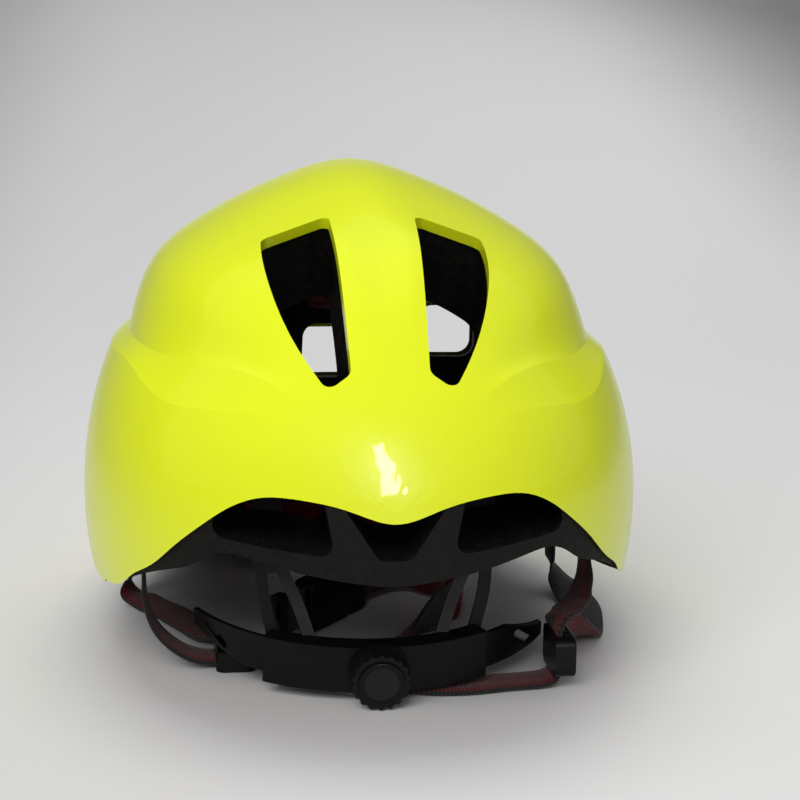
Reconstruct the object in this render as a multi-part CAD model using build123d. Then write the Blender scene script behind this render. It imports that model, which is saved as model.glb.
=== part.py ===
from build123d import *
from math import asin, copysign, cos, degrees, exp, pi, radians, sin
import os

# Aero cycling helmet with its retention cradle, fit dial, bands, straps and pads.
# Millimetres. +X is the rider's right, +Y the front, +Z up. The origin lies on the
# table under the middle of the helmet, which stands on its front brim and its dial.

# Overall form
LENGTH = 286.0
WIDTH = 202.0
ROOF_HEIGHT = 173.0
CREST_RISE = 4.0
CREST_HALF_WIDTH = 22.0
CHEEK_HEIGHT = 58.0
TAIL_HEIGHT = 74.8
NOSE_HEIGHT = 46.0
UNDER_DEPTH = 110.0
ROOF_PLACE = 8.0
CHEEK_PLACE = -13.0

# Side scoops and ledges
VALLEY_HEIGHT = 117.0
VALLEY_DEPTH = 4.5
VALLEY_SPREAD = 10.0
LEDGE_HEIGHT = 105.0
LEDGE_STEP = 7.0
SHOULDER_HEIGHT = 142.0
SHOULDER_RISE = 2.7
SHOULDER_SPREAD = 13.0
# Where the relief fades out towards tail and nose, as shares of half the length, and how fast
RELIEF_REAR_SHARE = 0.9
RELIEF_FRONT_SHARE = 0.85
RELIEF_REAR_PACE = 4
RELIEF_FRONT_PACE = 3
# Where the ledge steps up, and the limits of valley and ledge as shares of the section's rise
LEDGE_STEP_SHARE = 0.66
LEDGE_STEP_PACE = 6
VALLEY_LIMIT_SHARE = 0.84
LEDGE_DROP_SHARE = 0.05
# Points on each side of a section's upper and lower curve
UPPER_STEPS = 8
LOWER_STEPS = 10

# Walls and clearances
SHELL_THICK = 1.2
BOND_GAP = 0.15
LIP_DEPTH = 5.0
SEAT_GAP = 0.3
OVERRUN = 30.0

# Head space
SIDE_WALL = 24.0
FRONT_WALL = 42.0
REAR_WALL = 46.0
CROWN_WALL = 27.0
HEAD_LEVEL = 45.0
HEAD_WIDTH = WIDTH - SIDE_WALL * 2
HEAD_LENGTH = LENGTH - FRONT_WALL - REAR_WALL
HEAD_HEIGHT = ROOF_HEIGHT - CROWN_WALL - HEAD_LEVEL
HEAD_PLACE = (REAR_WALL - FRONT_WALL) / 2

# Rear vents
VENT_PLACE = -60.0
VENT_HEIGHT = 157.0
VENT_ANGLE = 32.7
VENT_LENGTH = 79.7
VENT_INNER = 12.4
VENT_WIDTH = 25.3
VENT_CORNER = 3.0
VENT_FOOT_CORNER = 3.4
VENT_DEPTH = 66.0

# Front intakes
INTAKE_TALL = 21.0
INTAKE_WIDE = 23.0
INTAKE_CORNER = 6.0
INTAKE_FALL = 8.7
INTAKE_PLACE = 125.0
INTAKE_LONG = 106.0
MIDDLE_INTAKE_LEVEL = 85.0
SIDE_INTAKE_LEVEL = 94.0
SIDE_INTAKE_OFFSET = 53.5
SIDE_INTAKE_TURN = 8.5

# Rear bar and its three ducts
BAR_TALL = 8.5
BAR_LOW = 53.8
DUCT_ROOF = 84.0
DUCT_FRONT = -66.0
DUCT_SIDE_RISE = 3.6
DUCT_CENTRE_HALF_WIDTH = 19.0
DUCT_CENTRE_FOOT = 5.0
DUCT_SIDE_INNER = 18.5
DUCT_SIDE_OUTER = 57.0
DUCT_CORNER = 4.0
WING_PLACE = -60.0
ARCH_SLOPE = 17.0
ARCH_REACH = 125.0

# Air grooves over the head
GROOVE_PLACE = 24.0
GROOVE_WIDTH = 14.0
GROOVE_DEPTH = 8.0
GROOVE_REAR = -40.0
GROOVE_FRONT = 92.0

# Pads
PAD_THICK = 5.0
PAD_CORNER = 6.0
PAD_EDGE = 1.4
PATCH_THICK = 0.8
PATCH_WIDTH = 12.0
PATCH_LENGTH = 24.0
BROW_LOW = 12.0
BROW_TALL = 20.0
BROW_ANGLE = 104.0
CENTRE_PAD_WIDTH = 24.0
CENTRE_PAD_LENGTH = 104.0
CENTRE_PAD_PLACE = 22.0
SIDE_PAD_WIDTH = 20.0
SIDE_PAD_LENGTH = 76.0
SIDE_PAD_OFFSET = 46.0
SIDE_PAD_PLACE = 6.0
TEMPLE_PAD_LENGTH = 62.0
TEMPLE_PAD_TALL = 18.0
TEMPLE_PAD_LOW = 52.0

# Cradle: arcs round one tilted axis
FIT_TILT = 8.0
FIT_RADIUS = 75.1
FIT_PLACE = -97.1
FIT_HEIGHT = 11.7
FRAME_THICK = 1.6
BAND_THICK = 1.6
BAND_GAP = 0.4
BAND_TALL = 13.0
COVER_THICK = 1.3
HOUSING_ANGLE = 62.0
BAND_REACH = 59.5
BAND_SLOPE_INNER = 46.0
BAND_SLOPE_OUTER = 64.0
BAND_SLOPE_RISE = 8.5
BAND_SLIT_WIDTH = 2.4
BAND_SLIT_LENGTH = 10.0
BAND_SLIT_PLACE = 54.0

# Fit dial
TOOTH_SLOPE = 0.3
PINION_MODULE = 0.8
PINION_TEETH = 8
RACK_BACKLASH = 0.35
BAND_TRAVEL = 12.0
DIAL_RADIUS = 10.0
DIAL_DEEP = 8.2
DIAL_GRIPS = 18
DIAL_GRIP_DEPTH = 0.7
GRIP_WALL = 2.2
DIAL_BASE_RADIUS = 10.4
DIAL_BASE_THICK = 1.8
SHAFT_RADIUS = 2.15
STUB_RADIUS = 1.5
RUN_CLEARANCE = 0.08
DRIVE_ACROSS = 3.0
DRIVE_DEEP = 4.0
SCREW_RADIUS = 0.9
SCREW_HEAD_RADIUS = 2.2
SCREW_HEAD_THICK = 1.2
CAP_RADIUS = 6.0
CAP_THICK = 1.1
SPRING_RADIUS = 7.0
SPRING_HOLE = 4.0
SPRING_THICK = 0.4

# Height stays and their anchors
STAY_WIDTH = 10.0
STAY_THICK = 1.6
STAY_OFFSET = 36.5
STAY_PLACE = -80.6
STAY_LOW = 42.0
STAY_TRAVEL = 10.0
STAY_SLOT = 4.6
LEG_WIDTH = 4.2
LEG_INNER = 22.5
LEG_OUTER = 35.0
STUD_HEIGHT = 90.0
STUD_RADIUS = 2.0
STUD_HEAD_RADIUS = 3.8
STUD_HEAD_THICK = 1.4
PLUG_RADIUS = 6.0
PLUG_DEEP = 6.0
POCKET_WIDTH = 15.0
POCKET_BACK = -84.5

# Straps
STRAP_WIDTH = 15.0
STRAP_THICK = 1.4
STRAP_ROOM = 0.4
STRAP_STEP = 5.0
REAR_SLOT_PLACE = (79.0, -56.0)
REAR_SLOT_LEVELS = (10.0, 54.0)
FRONT_SLOT_PLACE = (85.0, 31.0)
FRONT_SLOT_LEVELS = (4.0, 44.0)
ANCHOR_LENGTH = 21.0
ANCHOR_WIDTH = 7.0
ANCHOR_TALL = 5.0
DIVIDER_LENGTH = 14.0
DIVIDER_WIDTH = 22.0
DIVIDER_THICK = 7.4
DIVIDER_CORNER = 3.0
DIVIDER_LAYER = 1.5
DIVIDER_STOP = 2.0
DIVIDER_LEFT_PLACE = (-47.0, -51.5, 4.0)
DIVIDER_RIGHT_PLACE = (65.5, -81.0, 12.0)
CHIN_PAD_WIDTH = 18.0
CHIN_PAD_THICK = 7.0

# Buckle and keeper
BUCKLE_PLACE = (-20.3, -20.4, 10.5)
BUCKLE_TURN = 53.13
BUCKLE_WIDTH = 20.0
BUCKLE_THICK = 8.6
BUCKLE_CORNER = 3.0
BUCKLE_EDGE = 0.8
FEMALE_LENGTH = 27.0
MALE_LENGTH = 13.0
MALE_THICK = 7.6
BUCKLE_POCKET = 6.0
CAVITY_WIDTH = 16.0
CAVITY_TALL = 5.0
CAVITY_FLOOR = 8.5
WINDOW_START = 12.0
WINDOW_LENGTH = 8.0
PRONG_LENGTH = 16.0
PRONG_WIDTH = 2.2
GUIDE_WIDTH = 3.0
BARB_WIDTH = 1.2
BARB_LENGTH = 5.5
KEEPER_LENGTH = 5.0
KEEPER_WALL = 1.5
KEEPER_PLACE = 19.0

# Routes of the straps: points, and the way the webbing's width lies
ACROSS = (1, 0, 0)
FLAT = (0, 1, 0)
EDGE = (0, 0, 1)
DOWN = (0, 0, -1)
REAR_LEFT_ROUTE = (
    ((-79, -56, 53.85), FLAT), ((-79, -56, 34), FLAT), ((-79, -56, 31), FLAT), ((-78, -56, 23), FLAT),
    ((-75, -55.5, 15.5), FLAT), ((-70, -54.5, 9.5), FLAT), ((-63.5, -53, 4.8), FLAT), ((-57, -51.7, 2.7), FLAT),
    ((-54, -51.5, 2.5), FLAT), ((-52, -51.5, 2.5), FLAT), ((-42, -51.5, 2.5), FLAT), ((-39, -51.4, 2.5), FLAT),
    ((-36.2, -50.4, 3.7), (-0.62, 0.78, -0.05)), ((-34.4, -46.2, 6.8), (-0.5, 0.5, -0.7)),
    ((-33.9, -40.8, 10), (-0.15, 0.1, -1)), ((-32.3, -36.4, 10.5), DOWN), ((-29.3, -32.4, 10.5), DOWN),
    ((-23.9, -25.2, 10.5), DOWN), ((-17, -16, 10.5), DOWN),
)
FRONT_LEFT_ROUTE = (
    ((-85, 31, 43.85), FLAT), ((-85, 31, 16), FLAT), ((-85, 31, 13), FLAT), ((-86.2, 30.4, 8), FLAT),
    ((-85.2, 28, 4.0), (0.3, 0.95, 0)), ((-80, 21, 1.8), (0.7, 0.7, 0)), ((-70, 6, 1.3), (0.85, 0.5, 0)),
    ((-61, -12, 1.4), (0.9, 0.42, 0)), ((-54, -27, 2.2), (0.93, 0.36, 0)), ((-49.4, -35, 4.4), (0.97, 0.25, 0)),
    ((-47.2, -40.5, 5.5), ACROSS), ((-47, -43, 5.5), ACROSS), ((-47, -53, 5.5), ACROSS),
)
HOOK_ROUTE = (
    ((38, -12, 10), EDGE), ((41, 4, 10), EDGE), ((38, 18, 10), EDGE), ((30, 27, 10), EDGE),
)
REAR_RIGHT_ROUTE = (
    ((79, -56, 53.85), FLAT), ((79, -56, 44), FLAT), ((79, -56, 41), FLAT), ((78.2, -59, 33.5), FLAT),
    ((74, -67, 27), FLAT), ((68.8, -75.5, 24.2), FLAT), ((65, -80.2, 22), FLAT), ((64, -81, 19.5), FLAT),
    ((64, -81, 17), FLAT), ((64, -81, 7), FLAT), ((63.9, -81, 5), FLAT), ((62.8, -81, 3), FLAT),
    ((60, -81.5, 1.9), FLAT), ((55, -82, 1.4), FLAT), ((46, -83, 1.3), FLAT), ((30, -86, 1.3), FLAT),
    ((16, -84, 1.3), (0.4, 0.9, 0)), ((8, -76, 1.1), (0.85, 0.5, 0)), ((6, -64, 1.8), (1, 0, 0)),
    ((10, -52, 4.6), (0.85, -0.45, 0.3)), ((19, -40, 8.4), (0.5, -0.35, 0.8)), ((30, -27, 10), EDGE),
) + HOOK_ROUTE + (
    ((20, 28.5, 10.3), EDGE), ((11.5, 21.5, 10.5), EDGE), ((6.5, 15.3, 10.5), EDGE), ((0.6, 7.4, 10.5), EDGE),
)
FRONT_RIGHT_ROUTE = (
    ((85, 31, 43.85), FLAT), ((85, 31, 16), FLAT), ((85, 31, 13), FLAT), ((87.5, 29, 7.5), (0.35, 0.93, 0)),
    ((91, 20, 2.4), (0.9, 0.4, 0)),
    ((92, 5, 1.3), (1, 0, 0)), ((89, -15, 1.3), (0.98, -0.15, 0)), ((84, -34, 1.8), (0.95, -0.3, 0)),
    ((79, -45, 5.5), (0.7, -0.4, 0.6)), ((73.5, -55, 10), (0.25, -0.15, 0.95)), ((69, -63, 12), EDGE),
    ((67.2, -69, 12), EDGE), ((67, -72, 12), EDGE), ((67, -82.5, 12), EDGE),
)

# Places along the helmet where the form is drawn, as shares of half its length
STATION_SHARES = (-0.999, -0.985, -0.95, -0.88, -0.77, -0.62, -0.42, -0.18, 0.06,
                  0.3, 0.52, 0.7, 0.84, 0.93, 0.98, 0.999)
# Exponents of the round forms
ROOF_REAR_SHARE = 1.9
ROOF_FRONT_SHARE = 2.17
PLAN_REAR_SHARE = 2.13
PLAN_FRONT_SHARE = 2.2
SECTION_SHARE = 2.06
# Rear lower edge of the shell: across as a share of half the width, up of the roof
SHELL_REAR_SHARES = ((0, 0.431), (0.139, 0.454), (0.297, 0.472), (0.411, 0.47), (0.495, 0.449),
                     (0.584, 0.407), (0.673, 0.354), (0.762, 0.292), (0.812, 0.263), (0.871, 0.217),
                     (0.94, 0.203), (1.2, 0.2))
# Side lower edges: along as a share of half the length, up of the roof
SHELL_SIDE_SHARES = ((-0.42, 0.2), (-0.2, 0.195), (0, 0.185), (0.28, 0.145), (0.56, 0.09), (0.8, 0.05),
                     (1.2, 0.07))
FOAM_SIDE_SHARES = ((-0.42, 0.188), (-0.2, 0.178), (0, 0.162), (0.28, 0.116), (0.56, 0.052), (0.74, -0.004),
                    (0.86, -0.004), (1.2, 0.03))
# Arch of the foam over the neck, seen from behind, as shares of the same lengths as the shell's edge
FOAM_REAR_SHARES = ((0, 0.311), (0.127, 0.318), (0.279, 0.332), (0.437, 0.352), (0.515, 0.356), (0.57, 0.343),
                    (0.62, 0.32), (0.69, 0.299), (0.76, 0.276), (0.82, 0.247), (0.88, 0.212), (0.94, 0.191),
                    (1.2, 0.188))
# Rear vent's outer side: out as a share of its width, down as a share of its length
VENT_OUTER_SHARES = ((1, 0.06), (0.88, 0.53))
VENT_FOOT_SHARES = (0.3, 0.06)
VENT_HEAD_SHARE = 0.09


def taper(along, power):
    """A round end: 1 in the middle, 0 at a distance of 1."""
    return max(0.0, 1 - along ** power) ** (1 / power)


def ease(along):
    """A smooth step from 0 to 1."""
    along = min(max(along, 0.0), 1.0)
    return along * along * (3 - 2 * along)


def mirrored(shape):
    return shape.mirror(Plane.YZ)


def form_station(share, inset):
    """Closed outline of the helmet at one place, set in from the outside by a distance.

    Its upper curve ends in the valleys over the side ledges, and two short slopes
    lead to the lower curve, which starts at the ledges' edges.
    """
    half = LENGTH / 2 - inset
    along = share * half
    roof = ROOF_HEIGHT - inset
    if along < ROOF_PLACE:
        end, reach, power = TAIL_HEIGHT, (ROOF_PLACE - along) / (half + ROOF_PLACE), ROOF_REAR_SHARE
    else:
        end, reach, power = NOSE_HEIGHT, (along - ROOF_PLACE) / (half - ROOF_PLACE), ROOF_FRONT_SHARE
    top = end + (roof - end) * taper(reach, power)
    if along < CHEEK_PLACE:
        reach, power = (CHEEK_PLACE - along) / (half + CHEEK_PLACE), PLAN_REAR_SHARE
    else:
        reach, power = (along - CHEEK_PLACE) / (half - CHEEK_PLACE), PLAN_FRONT_SHARE
    plan = taper(reach, power)
    wide = (WIDTH / 2 - inset) * plan
    level = CHEEK_HEIGHT + (end - CHEEK_HEIGHT) * share * share
    rise = top - level
    under = UNDER_DEPTH * plan
    grow = ease((share + RELIEF_REAR_SHARE) * RELIEF_REAR_PACE)
    grow *= ease((RELIEF_FRONT_SHARE - share) * RELIEF_FRONT_PACE)
    valley = min(VALLEY_HEIGHT - inset / 2, level + VALLEY_LIMIT_SHARE * rise)
    ledge = LEDGE_HEIGHT - inset / 2 + LEDGE_STEP * ease((share + LEDGE_STEP_SHARE) * LEDGE_STEP_PACE)
    ledge = min(ledge, valley - LEDGE_DROP_SHARE * rise)
    bend = 2 / SECTION_SHARE

    def ring(angle):
        tall = rise if angle > 0 else under
        across = wide * max(cos(angle), 0.0) ** bend
        return across, level + tall * copysign(abs(sin(angle)) ** bend, angle)

    def swell(height):
        out = SHOULDER_RISE * exp(-((height - SHOULDER_HEIGHT) / SHOULDER_SPREAD) ** 2)
        dip = VALLEY_DEPTH * exp(-(max(height - valley, 0.0) / VALLEY_SPREAD) ** 2)
        return grow * (out - dip)

    def angle_at(height):
        return asin(((height - level) / rise) ** (1 / bend))

    upper = []
    start = angle_at(valley)
    for step in range(UPPER_STEPS):
        angle = start + (pi / 2 - start) * step / UPPER_STEPS
        across, height = ring(angle)
        out = swell(height)
        crest = CREST_RISE * grow * exp(-(across / CREST_HALF_WIDTH) ** 2)
        lift = 0.0 if step == 0 else out * sin(angle) + crest
        upper.append((across + out * cos(angle), height + lift))
    crown = (0.0, top + CREST_RISE * grow)
    over = upper + [crown] + [(-x, z) for x, z in reversed(upper)]
    lower = []
    start = angle_at(ledge)
    for step in range(LOWER_STEPS):
        lower.append(ring(start - (pi / 2 + start) * step / LOWER_STEPS))
    below = [(-x, z) for x, z in lower] + [(0.0, level - under)] + list(reversed(lower))
    over = [Vector(x, along, z) for x, z in over]
    below = [Vector(x, along, z) for x, z in below]
    return Wire([
        Edge.make_spline(over),
        Edge.make_line(over[-1], below[0]),
        Edge.make_spline(below),
        Edge.make_line(below[-1], over[0]),
    ])


def make_form(inset):
    """The helmet's solid outer form, set in from the outside by a distance."""
    return Solid.make_loft([form_station(share, inset) for share in STATION_SHARES])


def head_form(inset):
    """The head space: half an ellipsoid on a straight skirt, set in by a distance."""
    wide = HEAD_WIDTH / 2 - inset
    long = HEAD_LENGTH / 2 - inset
    tall = HEAD_HEIGHT - inset
    skirt = HEAD_LEVEL + OVERRUN
    unit = Sphere(1)
    stretch = Matrix([[wide, 0, 0, 0], [0, long, 0, HEAD_PLACE], [0, 0, tall, HEAD_LEVEL]])
    dome = unit.transform_geometry(stretch)
    plane = Plane.XY.offset(HEAD_LEVEL)
    base = plane * Pos(0, HEAD_PLACE) * Ellipse(wide, long)
    return Solid(dome.wrapped) + extrude(base, -skirt)


def vent_plane():
    """Plane over the right rear vent's upper end, with its Y axis running up the helmet."""
    tilt = radians(VENT_ANGLE)
    return Plane(origin=(0, VENT_PLACE, VENT_HEIGHT), x_dir=(1, 0, 0), z_dir=(0, -sin(tilt), cos(tilt)))


def vent_cutter(margin):
    """Right rear vent through shell and foam, grown by a margin."""
    outer = [(VENT_INNER + out * VENT_WIDTH, -down * VENT_LENGTH) for out, down in VENT_OUTER_SHARES]
    foot_wide, foot_rise = VENT_FOOT_SHARES
    foot_out = (VENT_INNER + foot_wide * VENT_WIDTH, -VENT_LENGTH)
    foot_in = (VENT_INNER, -VENT_LENGTH * (1 - foot_rise))
    head_in = (VENT_INNER + VENT_HEAD_SHARE * VENT_WIDTH, 0)
    with BuildSketch() as outline:
        with BuildLine():
            Line(head_in, outer[0])
            ThreePointArc(*outer, foot_out)
            Line(foot_out, foot_in)
            Line(foot_in, head_in)
        make_face()
        corners = outline.vertices().sort_by(Axis.Y)
        fillet(corners[2:], VENT_CORNER)
        fillet(outline.vertices().sort_by(Axis.Y)[:2], VENT_FOOT_CORNER)
        if margin > 0:
            offset(amount=margin)
    plane = vent_plane()
    face = plane * outline.sketch
    return extrude(face, VENT_DEPTH, dir=-plane.z_dir) + extrude(face, OVERRUN, dir=plane.z_dir)


def intake_cutter(across, level, turn, margin):
    """Front intake, grown by a margin. Towards the front it falls, and turns out by an angle."""
    turn, fall = radians(turn), radians(INTAKE_FALL)
    ahead = Vector(sin(turn) * cos(fall), cos(turn) * cos(fall), -sin(fall))
    with BuildSketch(Plane.XZ.offset(-INTAKE_PLACE)) as outline:
        with Locations((across, level)):
            RectangleRounded(INTAKE_WIDE + margin * 2, INTAKE_TALL + margin * 2, INTAKE_CORNER)
    return extrude(outline.sketch, INTAKE_LONG, dir=-ahead) + extrude(outline.sketch, OVERRUN, dir=ahead)


def vent_cutters(margin):
    """Every opening through shell and foam, grown by a margin."""
    side = [vent_cutter(margin), intake_cutter(SIDE_INTAKE_OFFSET, SIDE_INTAKE_LEVEL, SIDE_INTAKE_TURN, margin)]
    middle = intake_cutter(0, MIDDLE_INTAKE_LEVEL, 0, margin)
    return side + [mirrored(piece) for piece in side] + [middle]


def profile_below(plane, points, floor):
    """Face under a curve through points, down to a floor."""
    with BuildSketch(plane) as outline:
        with BuildLine():
            Spline(*points)
            Polyline(points[-1], (points[-1][0], floor), (points[0][0], floor), points[0])
        make_face()
    return outline.sketch


def rear_profile(shares):
    """Face under a symmetrical edge seen from behind, where the wings begin."""
    right = [(across * WIDTH / 2, up * ROOF_HEIGHT) for across, up in shares]
    left = [(-x, z) for x, z in reversed(right[1:])]
    return profile_below(Plane.XZ.offset(-WING_PLACE), left + right, -UNDER_DEPTH)


def rear_trim(shares):
    """Cut under a symmetrical edge seen from behind, over the whole tail."""
    return extrude(rear_profile(shares), LENGTH / 2 + OVERRUN + WING_PLACE)


def neck_arch():
    """Arch over the neck, under the rear bar and the wings, that falls towards the front."""
    slope = radians(ARCH_SLOPE)
    ahead = extrude(rear_profile(FOAM_REAR_SHARES), ARCH_REACH, dir=(0, cos(slope), -sin(slope)))
    return rear_trim(FOAM_REAR_SHARES) + ahead


def side_trim(shares):
    """Cut under an edge seen from the side, right through."""
    points = [(along * LENGTH / 2, up * ROOF_HEIGHT) for along, up in shares]
    return extrude(profile_below(Plane.YZ, points, -UNDER_DEPTH), WIDTH, both=True)


def make_shell():
    """Moulded skin with lips turned in round the rear vents."""
    lip = vent_cutter(SHELL_THICK) - make_form(LIP_DEPTH)
    inside = make_form(SHELL_THICK) - [lip, mirrored(lip)]
    cuts = vent_cutters(0.0) + [side_trim(SHELL_SIDE_SHARES), rear_trim(SHELL_REAR_SHARES)]
    return make_form(0.0) - inside - cuts


def make_foam():
    """Energy-absorbing foam with its vents, ducts, grooves, pocket and slots."""
    cuts = vent_cutters(SHELL_THICK + BOND_GAP) + rear_ducts() + air_grooves() + stay_pockets() + strap_slots()
    under = Pos(0, 0, -UNDER_DEPTH / 2) * Box(WIDTH, LENGTH, UNDER_DEPTH)
    cuts += [side_trim(FOAM_SIDE_SHARES), neck_arch(), under, head_form(0.0)]
    return make_form(SHELL_THICK + BOND_GAP) - cuts


def rear_ducts():
    """Three exhaust ducts over the rear bar, from the head space to the tail."""
    floor = BAR_LOW + BAR_TALL
    with BuildSketch(Plane.XZ.offset(-DUCT_FRONT)) as middle:
        with BuildLine():
            Polyline(
                (-DUCT_CENTRE_HALF_WIDTH, DUCT_ROOF),
                (DUCT_CENTRE_HALF_WIDTH, DUCT_ROOF),
                (DUCT_CENTRE_FOOT, floor),
                (-DUCT_CENTRE_FOOT, floor),
                close=True,
            )
        make_face()
        fillet(middle.vertices(), DUCT_CORNER)
    side_floor = floor + DUCT_SIDE_RISE / 4
    with BuildSketch(Plane.XZ.offset(-DUCT_FRONT)) as side:
        with BuildLine():
            Polyline(
                (DUCT_SIDE_INNER, side_floor),
                (DUCT_SIDE_OUTER, side_floor + DUCT_SIDE_RISE),
                (DUCT_SIDE_OUTER - DUCT_CORNER, DUCT_ROOF),
                (DUCT_SIDE_INNER + DUCT_CORNER, DUCT_ROOF),
                close=True,
            )
        make_face()
        fillet(side.vertices(), DUCT_CORNER)
    reach = LENGTH / 2 + OVERRUN + DUCT_FRONT
    return [extrude(face, reach) for face in (middle.sketch, side.sketch, mirrored(side.sketch))]


def air_grooves():
    """Two grooves in the head space's roof, from the front intakes to the rear vents."""
    deep = head_form(-GROOVE_DEPTH)
    long = GROOVE_FRONT - GROOVE_REAR
    tall = HEAD_HEIGHT
    block = Pos(GROOVE_PLACE, GROOVE_REAR + long / 2, HEAD_LEVEL + tall / 2 + GROOVE_WIDTH) * Box(
        GROOVE_WIDTH, long, tall)
    groove = deep & block
    return [groove, mirrored(groove)]


def stay_pockets():
    """Pockets in the foam's rear wall in which the cradle's stays slide, with plug holes."""
    top = STUD_HEIGHT + STAY_WIDTH / 2 + STAY_TRAVEL + OVERRUN / 10
    tall = top - STAY_LOW
    long = OVERRUN
    pocket = Pos(STAY_OFFSET, POCKET_BACK + long / 2, STAY_LOW + tall / 2) * Box(POCKET_WIDTH, long, tall)
    radius = PLUG_RADIUS + BOND_GAP
    deep = PLUG_DEEP + BOND_GAP
    hole = Pos(STAY_OFFSET, POCKET_BACK - deep / 2, STUD_HEIGHT) * Rot(90, 0, 0) * Cylinder(radius, deep)
    cut = pocket + hole
    return [cut, mirrored(cut)]


def strap_slots():
    """Slots in the foam's lower edge for the straps, with room for their anchors."""
    cuts = []
    for (across, along), (low, high) in slot_places():
        tall = high - low
        slot = Pos(across, along, low + tall / 2 - OVERRUN / 2) * Box(
            STRAP_THICK + STRAP_ROOM * 2, STRAP_WIDTH + STRAP_ROOM * 4, tall + OVERRUN)
        room = Pos(across, along, high + ANCHOR_TALL / 2) * Box(
            ANCHOR_WIDTH + BOND_GAP * 2, ANCHOR_LENGTH + BOND_GAP * 2, ANCHOR_TALL + BOND_GAP * 2)
        cut = slot + room
        cuts += [cut, mirrored(cut)]
    return cuts


def slot_places():
    return ((REAR_SLOT_PLACE, REAR_SLOT_LEVELS), (FRONT_SLOT_PLACE, FRONT_SLOT_LEVELS))


def make_anchors(place, levels):
    """Moulded-in bars that carry the straps' upper ends, one each side."""
    bar = Pos(place[0], place[1], levels[1] + ANCHOR_TALL / 2) * Box(ANCHOR_WIDTH, ANCHOR_LENGTH, ANCHOR_TALL)
    bar = fillet(bar.edges().filter_by(Axis.Z), ANCHOR_WIDTH / 4)
    return Compound(children=[bar, mirrored(bar)])


def make_stay_anchors():
    """Plugs in the foam, each with a headed stud through its stay's slot."""
    back = POCKET_BACK
    front = STAY_PLACE + STAY_THICK / 2 + SEAT_GAP
    axis = Pos(STAY_OFFSET, 0, STUD_HEIGHT) * Rot(90, 0, 0)
    plug = axis * Pos(0, 0, -back + PLUG_DEEP / 2) * Cylinder(PLUG_RADIUS, PLUG_DEEP)
    stud_long = front - back + STUD_HEAD_THICK
    stud = axis * Pos(0, 0, -back - stud_long / 2) * Cylinder(STUD_RADIUS, stud_long)
    head = axis * Pos(0, 0, -front - STUD_HEAD_THICK / 2) * Cylinder(STUD_HEAD_RADIUS, STUD_HEAD_THICK)
    anchor = plug + stud + head
    return Compound(children=[anchor, mirrored(anchor)])


def lining(prism, inset, thick):
    """Layer inside the head space, where a prism meets it."""
    return (prism & head_form(inset)) - head_form(inset + thick)


def make_pad(prism):
    """Soft pad with rounded edges, clear of the patches that hold it."""
    pad = lining(prism, PATCH_THICK + SEAT_GAP, PAD_THICK)
    return fillet(pad.edges(), PAD_EDGE)


def rounded_prism(plane, place, long, wide, corner, deep):
    """Rounded bar that stands on a plane at a place."""
    with BuildSketch(plane) as outline:
        with Locations(place):
            RectangleRounded(long, wide, corner)
    return extrude(outline.sketch, deep)


def crown_prism(wide, long, corner, place):
    return rounded_prism(Plane.XY.offset(HEAD_LEVEL), (0, place), wide, long, corner, ROOF_HEIGHT)


def side_crown_prism(wide, long, corner):
    """Right prism square to the dome over one side of the crown."""
    share = SIDE_PAD_OFFSET / (HEAD_WIDTH / 2)
    up = (1 - share * share) ** 0.5
    lean = Vector(share / HEAD_WIDTH * 2, 0, up / HEAD_HEIGHT).normalized()
    foot = Vector(SIDE_PAD_OFFSET, SIDE_PAD_PLACE, HEAD_LEVEL + up * HEAD_HEIGHT) - lean * OVERRUN
    plane = Plane(origin=foot, x_dir=(lean.Z, 0, -lean.X), z_dir=lean)
    return rounded_prism(plane, (0, 0), wide, long, corner, OVERRUN * 2)


def temple_prism(long, tall, corner):
    level = TEMPLE_PAD_LOW + TEMPLE_PAD_TALL / 2
    return rounded_prism(Plane.YZ, (HEAD_PLACE, level), long, tall, corner, WIDTH)


def brow_prism():
    """Wedge over the brow, as tall as the brow pad."""
    reach = LENGTH
    half = radians(BROW_ANGLE / 2)
    with BuildSketch(Plane.XY.offset(BROW_LOW)) as outline:
        with BuildLine():
            Polyline(
                (0, 0),
                (reach * sin(half), reach * cos(half)),
                (-reach * sin(half), reach * cos(half)),
                close=True,
            )
        make_face()
    return extrude(outline.sketch, BROW_TALL)


def make_patches():
    """Hook patches bonded to the foam under the pads."""
    corner = PATCH_WIDTH / 4
    shift = CENTRE_PAD_LENGTH / 4
    level = BROW_LOW + BROW_TALL / 2
    middle = [
        crown_prism(PATCH_WIDTH, PATCH_LENGTH, corner, CENTRE_PAD_PLACE - shift),
        crown_prism(PATCH_WIDTH, PATCH_LENGTH, corner, CENTRE_PAD_PLACE + shift),
        rounded_prism(Plane.XZ.offset(-LENGTH / 2), (0, level), PATCH_LENGTH, PATCH_WIDTH, corner, LENGTH / 2),
    ]
    side = [side_crown_prism(PATCH_WIDTH, PATCH_LENGTH, corner), temple_prism(PATCH_LENGTH, PATCH_WIDTH, corner)]
    patches = [lining(prism, BOND_GAP, PATCH_THICK) for prism in middle + side]
    patches += [mirrored(patch) for patch in patches[len(middle):]]
    return Compound(children=[solid for patch in patches for solid in patch.solids()])


def fit_plane():
    """Plane of the fit bands: its origin is the arcs' centre and its -Y points at the dial."""
    tilt = radians(FIT_TILT)
    centre = (0, FIT_PLACE + FIT_RADIUS * cos(tilt), FIT_HEIGHT + FIT_RADIUS * sin(tilt))
    return Plane(origin=centre, x_dir=(1, 0, 0), z_dir=(0, -sin(tilt), cos(tilt)))


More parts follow.
